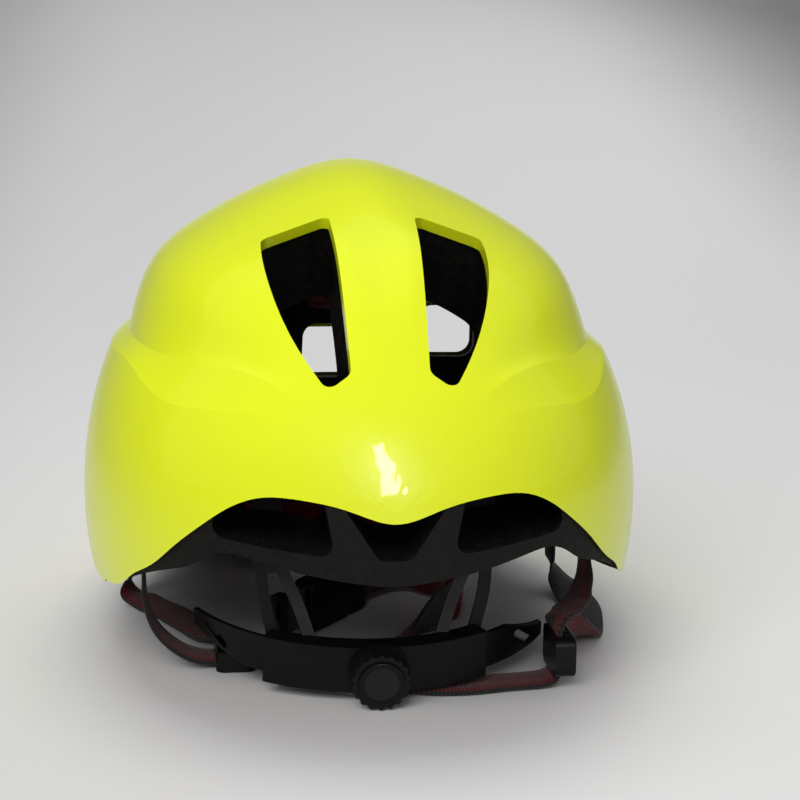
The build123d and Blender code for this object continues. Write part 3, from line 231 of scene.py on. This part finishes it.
def make_camera():
    """Camera at the photograph's viewing angle."""
    yaw, pitch = radians(CAMERA_YAW), radians(CAMERA_PITCH)
    back = Vector((-sin(yaw) * cos(pitch), -cos(yaw) * cos(pitch), sin(pitch)))
    data = bpy.data.cameras.new("camera")
    data.lens = CAMERA_LENS
    data.shift_x, data.shift_y = CAMERA_SHIFT
    camera = bpy.data.objects.new("camera", data)
    bpy.context.scene.collection.objects.link(camera)
    turn = (-back).to_track_quat("-Z", "Y").to_matrix().to_4x4()
    turn = turn @ Matrix.Rotation(radians(CAMERA_ROLL), 4, "Z")
    camera.matrix_world = Matrix.Translation(metres(CAMERA_TARGET) + back * CAMERA_DISTANCE * MM) @ turn
    bpy.context.scene.camera = camera


def new_material(name, **settings):
    """Material with values set on its shader; returns it with its node tree and shader."""
    material = bpy.data.materials.new(name)
    material.use_nodes = True
    shader = material.node_tree.nodes["Principled BSDF"]
    for key, value in settings.items():
        shader.inputs[key.replace("_", " ")].default_value = value
    return material, material.node_tree, shader


def add_node(tree, kind, **settings):
    """Node with settings: its own properties where it has them, else values of its sockets."""
    node = tree.nodes.new(kind)
    for key, value in settings.items():
        if hasattr(node, key):
            setattr(node, key, value)
        else:
            node.inputs[key.replace("_", " ")].default_value = value
    return node


def place_output(tree):
    """Output of the object's own coordinates."""
    return add_node(tree, "ShaderNodeTexCoord").outputs["Object"]


def mix_colours(tree, factor, low, high):
    """Colour output that runs from low to high with a factor output."""
    ramp = add_node(tree, "ShaderNodeValToRGB")
    ramp.color_ramp.elements[0].color = low
    ramp.color_ramp.elements[1].color = high
    tree.links.new(factor, ramp.inputs["Fac"])
    return ramp.outputs["Color"]


def set_range(tree, factor, low, high, target):
    """Link a factor, mapped to a range, to a shader's input."""
    spread = add_node(tree, "ShaderNodeMapRange", To_Min=low, To_Max=high)
    tree.links.new(factor, spread.inputs["Value"])
    tree.links.new(spread.outputs["Result"], target)


def add_bump(tree, shader, height, distance, strength=1.0, under=None):
    """Bump from a height output, over another bump's output if one is given; returns its own."""
    bump = add_node(tree, "ShaderNodeBump", Distance=distance, Strength=strength)
    tree.links.new(height, bump.inputs["Height"])
    if under is not None:
        tree.links.new(under, bump.inputs["Normal"])
    tree.links.new(bump.outputs["Normal"], shader.inputs["Normal"])
    return bump.outputs["Normal"]


def gloss_material(name, low, high, scale, coat, roughness, ripple):
    """Painted or moulded gloss with a faint ripple and a little colour drift."""
    settings = {"Coat_Weight": coat, "Coat_Roughness": 0.05, "Specular_IOR_Level": 0.3}
    material, tree, shader = new_material(name, **settings)
    place = place_output(tree)
    drift = add_node(tree, "ShaderNodeTexNoise", Scale=scale, Detail=3.0)
    fine = add_node(tree, "ShaderNodeTexNoise", Scale=scale * RIPPLE_FINENESS, Detail=2.0)
    tree.links.new(place, drift.inputs["Vector"])
    tree.links.new(place, fine.inputs["Vector"])
    tree.links.new(mix_colours(tree, drift.outputs["Fac"], low, high), shader.inputs["Base Color"])
    least, most = (roughness * share for share in GLOSS_ROUGHNESS_SHARES)
    set_range(tree, fine.outputs["Fac"], least, most, shader.inputs["Roughness"])
    add_bump(tree, shader, fine.outputs["Fac"], distance=ripple)
    return material


def plastic_material(name, low, high, grain, roughness, depth):
    """Moulded plastic with a fine spark-eroded grain and lighter, rubbed patches."""
    material, tree, shader = new_material(name, Specular_IOR_Level=0.14)
    place = place_output(tree)
    patch = add_node(tree, "ShaderNodeTexNoise", Scale=60.0, Detail=5.0, Roughness=0.65)
    fine = add_node(tree, "ShaderNodeTexNoise", Scale=grain, Detail=4.0, Roughness=0.7)
    tree.links.new(place, patch.inputs["Vector"])
    tree.links.new(place, fine.inputs["Vector"])
    tree.links.new(mix_colours(tree, patch.outputs["Fac"], low, high), shader.inputs["Base Color"])
    least, most = (roughness * share for share in PLASTIC_ROUGHNESS_SHARES)
    set_range(tree, patch.outputs["Fac"], least, most, shader.inputs["Roughness"])
    add_bump(tree, shader, fine.outputs["Fac"], distance=depth)
    return material


def foam_material(name):
    """Moulded bead foam: rounded cells of uneven grey with dark seams."""
    material, tree, shader = new_material(name, Specular_IOR_Level=0.15)
    place = place_output(tree)
    warp = add_node(tree, "ShaderNodeTexNoise", Scale=180.0, Detail=2.0)
    tree.links.new(place, warp.inputs["Vector"])
    bend = add_node(tree, "ShaderNodeMix", data_type="VECTOR", Factor=BEAD_WANDER)
    for source, socket in zip((place, warp.outputs["Color"]), MIX_VECTOR_INPUTS):
        tree.links.new(source, bend.inputs[socket])
    seams = add_node(tree, "ShaderNodeTexVoronoi", feature="DISTANCE_TO_EDGE", Scale=BEAD_SCALE)
    cells = add_node(tree, "ShaderNodeTexVoronoi", feature="F1", Scale=BEAD_SCALE)
    fine = add_node(tree, "ShaderNodeTexNoise", Scale=1600.0, Detail=3.0)
    for texture in (seams, cells, fine):
        tree.links.new(bend.outputs[MIX_VECTOR_OUTPUT], texture.inputs["Vector"])
    grey = add_node(tree, "ShaderNodeRGBToBW")
    tree.links.new(cells.outputs["Color"], grey.inputs["Color"])
    colour = mix_colours(tree, grey.outputs["Val"], FOAM_DARK, FOAM_LIGHT)
    tree.links.new(colour, shader.inputs["Base Color"])
    set_range(tree, grey.outputs["Val"], *FOAM_ROUGHNESS, shader.inputs["Roughness"])
    crown = add_node(tree, "ShaderNodeMapRange", From_Max=BEAD_CROWN_SHARE, To_Max=1.0)
    tree.links.new(seams.outputs["Distance"], crown.inputs["Value"])
    first = add_bump(tree, shader, crown.outputs["Result"], distance=0.00018, strength=0.6)
    add_bump(tree, shader, fine.outputs["Fac"], distance=0.00015, under=first)
    return material


def knit_material(name, low, high, cell, sheen):
    """Knitted mesh fabric of small round holes."""
    settings = {"Sheen_Weight": sheen, "Sheen_Roughness": 0.4, "Specular_IOR_Level": 0.2}
    material, tree, shader = new_material(name, **settings)
    place = place_output(tree)
    settings = {"feature": "SMOOTH_F1", "Scale": cell, "Smoothness": 0.25, "Randomness": 0.35}
    holes = add_node(tree, "ShaderNodeTexVoronoi", **settings)
    fluff = add_node(tree, "ShaderNodeTexNoise", Scale=cell * FLUFF_FINENESS, Detail=4.0)
    tree.links.new(place, holes.inputs["Vector"])
    tree.links.new(place, fluff.inputs["Vector"])
    spread = add_node(tree, "ShaderNodeMapRange", From_Min=0.1, From_Max=0.6)
    tree.links.new(holes.outputs["Distance"], spread.inputs["Value"])
    tree.links.new(mix_colours(tree, spread.outputs["Result"], low, high), shader.inputs["Base Color"])
    set_range(tree, fluff.outputs["Fac"], *FABRIC_ROUGHNESS, shader.inputs["Roughness"])
    first = add_bump(tree, shader, spread.outputs["Result"], distance=0.0003)
    add_bump(tree, shader, fluff.outputs["Fac"], distance=0.0001, under=first)
    return material


def webbing_material(name, low, high):
    """Woven webbing: ribs along and picks across, from the strap's own lengths."""
    settings = {"Sheen_Weight": 0.15, "Sheen_Roughness": 0.5, "Specular_IOR_Level": 0.3}
    material, tree, shader = new_material(name, **settings)
    route = add_node(tree, "ShaderNodeUVMap", uv_map="weave").outputs["UV"]
    settings = {"bands_direction": "X", "Scale": 260.0, "Distortion": 0.4, "Detail": 1.0}
    picks = add_node(tree, "ShaderNodeTexWave", **settings)
    ribs = add_node(tree, "ShaderNodeTexWave", bands_direction="Y", Scale=200.0)
    fluff = add_node(tree, "ShaderNodeTexNoise", Scale=2500.0, Detail=3.0)
    for texture in (picks, ribs, fluff):
        tree.links.new(route, texture.inputs["Vector"])
    weave = add_node(tree, "ShaderNodeMath", operation="MULTIPLY")
    tree.links.new(picks.outputs["Fac"], weave.inputs[0])
    tree.links.new(ribs.outputs["Fac"], weave.inputs[1])
    tree.links.new(mix_colours(tree, weave.outputs["Value"], low, high), shader.inputs["Base Color"])
    set_range(tree, fluff.outputs["Fac"], *WEBBING_ROUGHNESS, shader.inputs["Roughness"])
    first = add_bump(tree, shader, weave.outputs["Value"], distance=0.0003)
    add_bump(tree, shader, fluff.outputs["Fac"], distance=0.00008, under=first)
    return material


def metal_material(name, low, high, roughness):
    """Turned steel with fine lines."""
    material, tree, shader = new_material(name, Metallic=1.0)
    place = place_output(tree)
    lines = add_node(tree, "ShaderNodeTexNoise", Scale=1500.0, Detail=4.0)
    tree.links.new(place, lines.inputs["Vector"])
    tree.links.new(mix_colours(tree, lines.outputs["Fac"], low, high), shader.inputs["Base Color"])
    least, most = (roughness * share for share in METAL_ROUGHNESS_SHARES)
    set_range(tree, lines.outputs["Fac"], least, most, shader.inputs["Roughness"])
    add_bump(tree, shader, lines.outputs["Fac"], distance=0.00003)
    return material


def finish_nodes(material, *names):
    """Give a material to the CAD nodes' slots."""
    for name in names:
        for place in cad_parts[name].material_slots:
            place.material = material


def new_piece(name, points, faces, body, material, *nodes, slot=None):
    """Smooth mesh piece from points in millimetres, on a body, in place of CAD nodes."""
    mesh = bpy.data.meshes.new(name)
    mesh.from_pydata([metres(point) for point in points], [], faces)
    cleaned = bmesh.new()
    cleaned.from_mesh(mesh)
    bmesh.ops.recalc_face_normals(cleaned, faces=cleaned.faces)
    cleaned.to_mesh(mesh)
    cleaned.free()
    mesh.shade_smooth()
    mesh.materials.append(material)
    piece = bpy.data.objects.new(name, mesh)
    bpy.context.scene.collection.objects.link(piece)
    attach(piece, body)
    if nodes:
        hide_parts(*nodes)
    return piece


def heading(before, here, after):
    """Direction of a route at a point, led by the nearer neighbour."""
    back = (here - before).length
    ahead = (after - here).length
    return ((here - before) * (ahead / back) + (after - here) * (back / ahead)).normalized()


def smooth_route(stops, step_long):
    """Places and width directions in short steps along a cubic Hermite curve through the stops."""
    points = [Vector(point) for point, across in stops]
    ways = [Vector(across).normalized() for point, across in stops]
    ends = [points[0] * 2 - points[1]] + points + [points[-1] * 2 - points[-2]]
    places = []
    for step, (here, there) in enumerate(zip(points, points[1:])):
        span = (there - here).length
        leave = heading(ends[step], here, there) * span
        arrive = heading(here, there, ends[step + 3]) * span
        count = max(1, round(span / step_long))
        for part in range(count):
            t = part / count
            place = here * (1 - 3 * t * t + 2 * t ** 3) + leave * (t - 2 * t * t + t ** 3)
            place = place + there * (3 * t * t - 2 * t ** 3) + arrive * (t ** 3 - t * t)
            places.append((place, ways[step] * (1 - t) + ways[step + 1] * t))
    places.append((points[-1], ways[-1]))
    return places


def route_frames(stops):
    """Place, width direction and face direction at each step of a route."""
    places = smooth_route(stops, STRAP_STEP)
    frames = []
    for step, (point, across) in enumerate(places):
        before = places[max(step - 1, 0)][0]
        after = places[min(step + 1, len(places) - 1)][0]
        ahead = (after - before).normalized()
        side = (across - ahead * across.dot(ahead)).normalized()
        frames.append((point, side, ahead.cross(side)))
    return frames


def sweep(name, stops, outline, body, material, *nodes, slot=None):
    """Closed sweep of an outline along a route, with its lengths kept as UVs."""
    frames = route_frames(stops)
    count = len(outline)
    points = []
    for place, side, face in frames:
        points += [place + side * across + face * out for across, out in outline]
    faces = []
    for step in range(len(frames) - 1):
        for corner in range(count):
            after = (corner + 1) % count
            base = step * count
            faces.append((base + corner, base + after, base + count + after, base + count + corner))
    faces.append(tuple(range(count)))
    faces.append(tuple(len(points) - 1 - corner for corner in range(count)))
    piece = new_piece(name, points, faces, body, material, *nodes, slot=slot)
    reach = [0.0]
    for before, after in zip(frames, frames[1:]):
        reach.append(reach[-1] + (after[0] - before[0]).length)
    weave = piece.data.uv_layers.new(name="weave")
    for loop in piece.data.loops:
        step, corner = divmod(loop.vertex_index, count)
        weave.data[loop.index].uv = (reach[step] * MM, outline[corner][0] * MM)
    return piece


def webbing_outline():
    """Flat webbing with rounded woven edges."""
    half, thick = STRAP_WIDTH / 2, STRAP_THICK / 2
    flat = half - STRAP_EDGE
    return [(-flat, -thick), (-flat / 3, -thick), (flat / 3, -thick), (flat, -thick), (half, -thick / 3),
            (half, thick / 3), (flat, thick), (flat / 3, thick), (-flat / 3, thick), (-flat, thick),
            (-half, thick / 3), (-half, -thick / 3)]


def make_strap(name, stops, inner_face, body, outside, inside):
    """Strap with its inner face in another colour. inner_face is 1 or -1, along its face direction."""
    piece = sweep(name, stops, webbing_outline(), body, outside, name, slot="webbing")
    piece.data.materials.append(inside)
    frames = route_frames(stops)
    count = len(webbing_outline())
    for polygon in piece.data.polygons:
        step = min(polygon.vertices) // count
        if polygon.normal.dot(frames[min(step, len(frames) - 1)][2] * inner_face) > INNER_FACE_SHARE:
            polygon.material_index = 1
    return piece


def dome_hit(start, way, inset):
    """Where a ray from inside meets the head space set in by a distance."""
    wide, long, tall = HEAD_HALF_WIDTH - inset, HEAD_HALF_LENGTH - inset, HEAD_HEIGHT - inset
    for high in (True, False):
        scale = Vector((1 / wide, 1 / long, 1 / tall if high else 0.0))
        from_centre = Vector((start[0], start[1] - HEAD_PLACE, start[2] - HEAD_LEVEL)) * scale
        along = way * scale
        a, b, c = along.dot(along), from_centre.dot(along), from_centre.dot(from_centre) - 1
        reach = (-b + sqrt(max(b * b - a * c, 0.0))) / a
        hit = start + way * reach
        if high and hit.z >= HEAD_LEVEL:
            return hit
    return hit


def rounded_outline(half_long, half_wide, corner, spokes):
    """Points round a rounded rectangle."""
    points = []
    quarter = spokes // 4
    for turn, (x, y) in enumerate(((1, 1), (-1, 1), (-1, -1), (1, -1))):
        for step in range(quarter):
            angle = (turn + step / (quarter - 1)) * pi / 2
            across = x * (half_long - corner) + corner * cos(angle)
            points.append((across, y * (half_wide - corner) + corner * sin(angle)))
    return points


def pad_height(share, along, channels, width):
    """Share of a pad's full height: crowned, on a thin welded flange, with sewn channels."""
    flange = PAD_FLANGE / PAD_THICK
    if share > PAD_CROWN_SHARE:
        return flange
    fall = 1 - (share / PAD_CROWN_SHARE) ** PAD_CROWN_FLATNESS
    crown = flange + (1 - flange) * fall ** PAD_CROWN_ROUNDNESS
    for channel in channels:
        crown *= 1 - PAD_CHANNEL_DEPTH_SHARE * exp(-((along - channel) / width) ** 2)
    return crown


def make_pad(name, node, body, halves, surface, channels, material, spread=PAD_CHANNEL_SPREAD):
    """Padded cushion. surface(u, v, height) gives a point for a place and height share."""
    outline = rounded_outline(*halves, PAD_CORNER, PAD_SPOKES)
    count = len(outline)
    points, faces = [], []
    # The crowned face, ring by ring to its middle
    for ring in range(PAD_RINGS):
        share = 1 - ring / PAD_RINGS
        for u, v in outline:
            points.append(surface(u * share, v * share, pad_height(share, u * share, channels, spread)))
    points.append(surface(0.0, 0.0, pad_height(0.0, 0.0, channels, spread)))
    top = len(points) - 1
    for ring in range(PAD_RINGS - 1):
        for step in range(count):
            after = (step + 1) % count
            base = ring * count
            faces.append((base + step, base + after, base + count + after, base + count + step))
    last = (PAD_RINGS - 1) * count
    faces += [(last + step, last + (step + 1) % count, top) for step in range(count)]
    # The back, which lies against the foam
    start = len(points)
    for share in PAD_BACK_RINGS:
        points += [surface(u * share, v * share, 0.0) for u, v in outline]
    points.append(surface(0.0, 0.0, 0.0))
    for step in range(count):
        after = (step + 1) % count
        faces.append((step, after, start + after, start + step))
        faces.append((start + step, start + after, start + count + after, start + count + step))
        faces.append((start + count + step, start + count + after, len(points) - 1))
    piece = new_piece(name, points, faces, body, material, node, slot="pad_red")


def centre_surface(u, v, height):
    """Point of the middle crown pad, which runs from front to back."""
    start = Vector((v, CENTRE_PAD_PLACE + u, HEAD_LEVEL))
    return dome_hit(start, Vector((0, 0, 1)), PAD_SEAT + PAD_THICK * height)


def crown_surface(side):
    """Surface of a crown pad beside the middle one, square to the foam there."""
    share = CROWN_PAD_OFFSET / HEAD_HALF_WIDTH
    up = sqrt(1 - share * share)
    lean = Vector((share / HEAD_HALF_WIDTH, 0, up / HEAD_HEIGHT)).normalized()
    foot = Vector((CROWN_PAD_OFFSET, CROWN_PAD_PLACE, HEAD_LEVEL + up * HEAD_HEIGHT))
    foot -= lean * CROWN_PAD_START_DEPTH
    across = Vector((lean.z, 0, -lean.x))

    def surface(u, v, height):
        hit = dome_hit(foot + across * v + Vector((0, u, 0)), lean, PAD_SEAT + PAD_THICK * height)
        return Vector((hit.x * side, hit.y, hit.z))
    return surface


def temple_surface(side):
    """Surface of a side pad, at the temple."""
    def surface(u, v, height):
        start = Vector((0, HEAD_PLACE + u, TEMPLE_PAD_LEVEL + v))
        return dome_hit(start, Vector((side, 0, 0)), PAD_SEAT + PAD_THICK * height)
    return surface


def brow_surface(u, v, height):
    """Point of the brow pad, which bends round the forehead."""
    angle = u / BROW_PAD_RADIUS
    start = Vector((0, 0, BROW_PAD_LEVEL + v))
    return dome_hit(start, Vector((sin(angle), cos(angle), 0)), PAD_SEAT + PAD_THICK * height)


def fit_point(angle, radius, up):
    """Point at an angle from the rear round the tilted fit axis."""
    tilt = radians(FIT_TILT)
    forward = Vector((0, cos(tilt), sin(tilt)))
    axis = Vector((0, -sin(tilt), cos(tilt)))
    centre = Vector((0, FIT_PLACE, FIT_HEIGHT)) + forward * FIT_CENTRE_RADIUS
    return centre + Vector((1, 0, 0)) * radius * sin(angle) - forward * radius * cos(angle) + axis * up


def nape_surface(side):
    """Surface of a nape pad, inside one arm of the cradle."""
    middle = radians((NAPE_START + NAPE_END) / 2)

    def surface(u, v, height):
        return fit_point(side * (middle + u / NAPE_RADIUS), NAPE_RADIUS - NAPE_THICK * height, v)
    return surface


def make_pads(red):
    """Cushions of the head space and the cradle."""
    make_pad("crown_cushion_center", "crown_pad_center", "helmet", CENTRE_PAD_HALVES, centre_surface,
             CENTRE_PAD_CHANNELS, red)
    brow_halves = (BROW_PAD_RADIUS * radians(BROW_PAD_REACH), BROW_PAD_HALF_WIDTH)
    make_pad("brow_cushion", "brow_pad", "helmet", brow_halves, brow_surface, BROW_PAD_CHANNELS, red)
    nape_halves = (NAPE_RADIUS * radians(NAPE_END - NAPE_START) / 2, NAPE_HALF_TALL)
    for side, word in ((1, "right"), (-1, "left")):
        make_pad(f"crown_cushion_{word}", f"crown_pad_{word}", "helmet", CROWN_PAD_HALVES,
                 crown_surface(side), CROWN_PAD_CHANNELS, red)
        make_pad(f"temple_cushion_{word}", f"side_pad_{word}", "helmet", TEMPLE_PAD_HALVES,
                 temple_surface(side), TEMPLE_PAD_CHANNELS, red)
        make_pad(f"nape_cushion_{word}", f"occipital_pad_{word}", "cradle", nape_halves,
                 nape_surface(side), NAPE_PAD_CHANNELS, red, spread=NAPE_CHANNEL_SPREAD)


def make_chin_sleeve(material):
    """Soft sleeve of the chin strap, crowned, with flat-capped ends."""
    outline = []
    for step in range(CHIN_PAD_STEPS):
        angle = 2 * pi * step / CHIN_PAD_STEPS
        flat = abs(cos(angle)) ** CHIN_PAD_FLATNESS
        across = CHIN_PAD_WIDTH / 2 * flat * (1 if cos(angle) > 0 else -1)
        outline.append((across, CHIN_PAD_THICK / 2 * sin(angle)))
    piece = sweep("chin_sleeve", HOOK_ROUTE, outline, "helmet", material, "chin_pad", slot="pad_red")


def stage_material():
    """Matt floor with a faint grain, with a painted pool of light round the helmet and painted shade
    further out.
    """
    material, tree, shader = new_material("stage_painted_light_pool", Roughness=0.6, Specular_IOR_Level=0.25)
    place = place_output(tree)
    spread = add_node(tree, "ShaderNodeTexGradient", gradient_type="SPHERICAL")
    centre = add_node(tree, "ShaderNodeMapping")
    centre.inputs["Location"].default_value = PAINTED_LIGHT_POOL_SHIFT
    centre.inputs["Scale"].default_value = PAINTED_LIGHT_POOL_SCALE
    grain = add_node(tree, "ShaderNodeTexNoise", Scale=900.0, Detail=2.0)
    tree.links.new(place, centre.inputs["Vector"])
    tree.links.new(centre.outputs["Vector"], spread.inputs["Vector"])
    tree.links.new(place, grain.inputs["Vector"])
    painted_shade_edge, painted_light_edge = PAINTED_LIGHT_POOL_FADE
    settings = {"From_Min": painted_shade_edge, "From_Max": painted_light_edge, "interpolation_type": "SMOOTHSTEP"}
    reach = add_node(tree, "ShaderNodeMapRange", **settings)
    tree.links.new(spread.outputs["Fac"], reach.inputs["Value"])
    # Painted light pool round the helmet, fading to painted shade away from it
    colour = mix_colours(tree, reach.outputs["Result"], FLOOR_PAINTED_SHADE, FLOOR_PAINTED_LIGHT)
    tree.links.new(colour, shader.inputs["Base Color"])
    add_bump(tree, shader, grain.outputs["Fac"], distance=0.0001, strength=0.3)
    return material


def make_stage():
    """Floor that sweeps up into the backdrop."""
    material = stage_material()
    profile = [(STAGE_NEAR, 0.0), (STAGE_FAR, 0.0)]
    for step in range(1, STAGE_SWEEP_STEPS + 1):
        angle = step * pi / (2 * STAGE_SWEEP_STEPS)
        away = STAGE_FAR + STAGE_SWEEP_RADIUS * sin(angle)
        profile.append((away, STAGE_SWEEP_RADIUS * (1 - cos(angle))))
    profile.append((STAGE_FAR + STAGE_SWEEP_RADIUS, STAGE_HEIGHT))
    points = [(x, y, z) for y, z in profile for x in (-STAGE_HALF_WIDTH, STAGE_HALF_WIDTH)]
    faces = [(2 * i, 2 * i + 1, 2 * i + 3, 2 * i + 2) for i in range(len(profile) - 1)]
    mesh = bpy.data.meshes.new("stage")
    mesh.from_pydata(points, [], faces)
    mesh.shade_smooth()
    mesh.materials.append(material)
    stage = bpy.data.objects.new("stage", mesh)
    bpy.context.scene.collection.objects.link(stage)


def add_lamp(name, place, size, power, colour=(1, 1, 1), mirrored=False, roll=0.0):
    """Rectangular soft light aimed at the helmet. A mirrored one only shows in glossy faces."""
    data = bpy.data.lights.new(name, "AREA")
    data.shape = "RECTANGLE"
    data.size, data.size_y = size
    data.energy = power
    data.color = colour
    lamp = bpy.data.objects.new(name, data)
    bpy.context.scene.collection.objects.link(lamp)
    turn = (Vector(LAMP_AIM) - Vector(place)).to_track_quat("-Z", "Y").to_matrix().to_4x4()
    lamp.matrix_world = Matrix.Translation(Vector(place)) @ turn @ Matrix.Rotation(radians(roll), 4, "Z")
    lamp.visible_glossy = mirrored
    lamp.visible_diffuse = not mirrored


def make_lights():
    """Even sky and the lamps."""
    world = bpy.data.worlds.new("world")
    bpy.context.scene.world = world
    world.use_nodes = True
    sky = world.node_tree.nodes["Background"]
    sky.inputs["Color"].default_value = SKY_COLOUR
    sky.inputs["Strength"].default_value = SKY_STRENGTH
    for lamp in LAMPS:
        add_lamp(**lamp)


def dress():
    """Materials of the CAD nodes, and the soft pieces that replace theirs."""
    neon = gloss_material("shell_neon", NEON_DEEP, NEON, scale=8.0, coat=0.45, roughness=0.32,
                          ripple=0.00002)
    foam = foam_material("bead_foam")
    red = knit_material("pad_knit", RED_DARK, RED, cell=900.0, sheen=0.25)
    hook = knit_material("hook_patch", FOAM_DARK, FOAM_LIGHT, cell=1400.0, sheen=0.1)
    web = webbing_material("webbing_black", WEB_BLACK, WEB_GREY)
    web_red = webbing_material("webbing_red", RED_DARK, RED)
    black = plastic_material("cradle_plastic", PLASTIC_BLACK, PLASTIC_WORN, grain=1800.0, roughness=0.42,
                             depth=0.00004)
    satin = plastic_material("buckle_plastic", PLASTIC_BLACK, PLASTIC_WORN, grain=900.0, roughness=0.32,
                             depth=0.00002)
    rubber = plastic_material("dial_rubber", RUBBER, RUBBER_DUSTY, grain=2500.0, roughness=0.6,
                              depth=0.00005)
    cap = plastic_material("dial_cap_paint", CAP_GREY, CAP_LIGHT, grain=3000.0, roughness=0.25,
                           depth=0.00001)
    nylon = plastic_material("pinion_nylon", NYLON_DEEP, NYLON, grain=1200.0, roughness=0.38,
                             depth=0.00002)
    steel = metal_material("steel", STEEL_DARK, STEEL, roughness=0.25)
    finish_nodes(neon, "outer_shell")
    finish_nodes(foam, "foam_liner")
    finish_nodes(hook, "pad_patches")
    finish_nodes(black, "cradle_frame", "cradle_cover", "band_left", "band_right", "adjuster_anchors",
                 "strap_anchor_rear", "strap_anchor_front")
    finish_nodes(satin, "buckle_female", "buckle_male", "strap_keeper", "divider_left", "divider_right",
                 "dial_knob")
    finish_nodes(rubber, "dial_grip")
    finish_nodes(cap, "dial_cap")
    finish_nodes(nylon, "dial_pinion")
    finish_nodes(steel, "dial_screw", "detent_spring")
    make_pads(red)
    make_chin_sleeve(red)
    make_strap("rear_strap_left", REAR_LEFT_ROUTE, 1, "helmet", web, web_red)
    make_strap("front_strap_left", FRONT_LEFT_ROUTE, 1, "helmet", web, web_red)
    make_strap("rear_strap_right", REAR_RIGHT_ROUTE, -1, "helmet", web, web_red)
    make_strap("front_strap_right", FRONT_RIGHT_ROUTE, -1, "helmet", web, web_red)


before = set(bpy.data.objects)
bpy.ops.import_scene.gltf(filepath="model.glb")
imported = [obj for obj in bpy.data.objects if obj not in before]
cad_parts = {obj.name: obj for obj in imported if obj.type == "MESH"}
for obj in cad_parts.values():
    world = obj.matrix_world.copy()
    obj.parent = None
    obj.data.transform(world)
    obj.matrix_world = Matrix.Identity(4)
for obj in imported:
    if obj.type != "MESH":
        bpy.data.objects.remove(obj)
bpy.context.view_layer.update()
make_camera()
make_lights()
make_stage()
dress()
bpy.context.scene.view_settings.view_transform = "Standard"
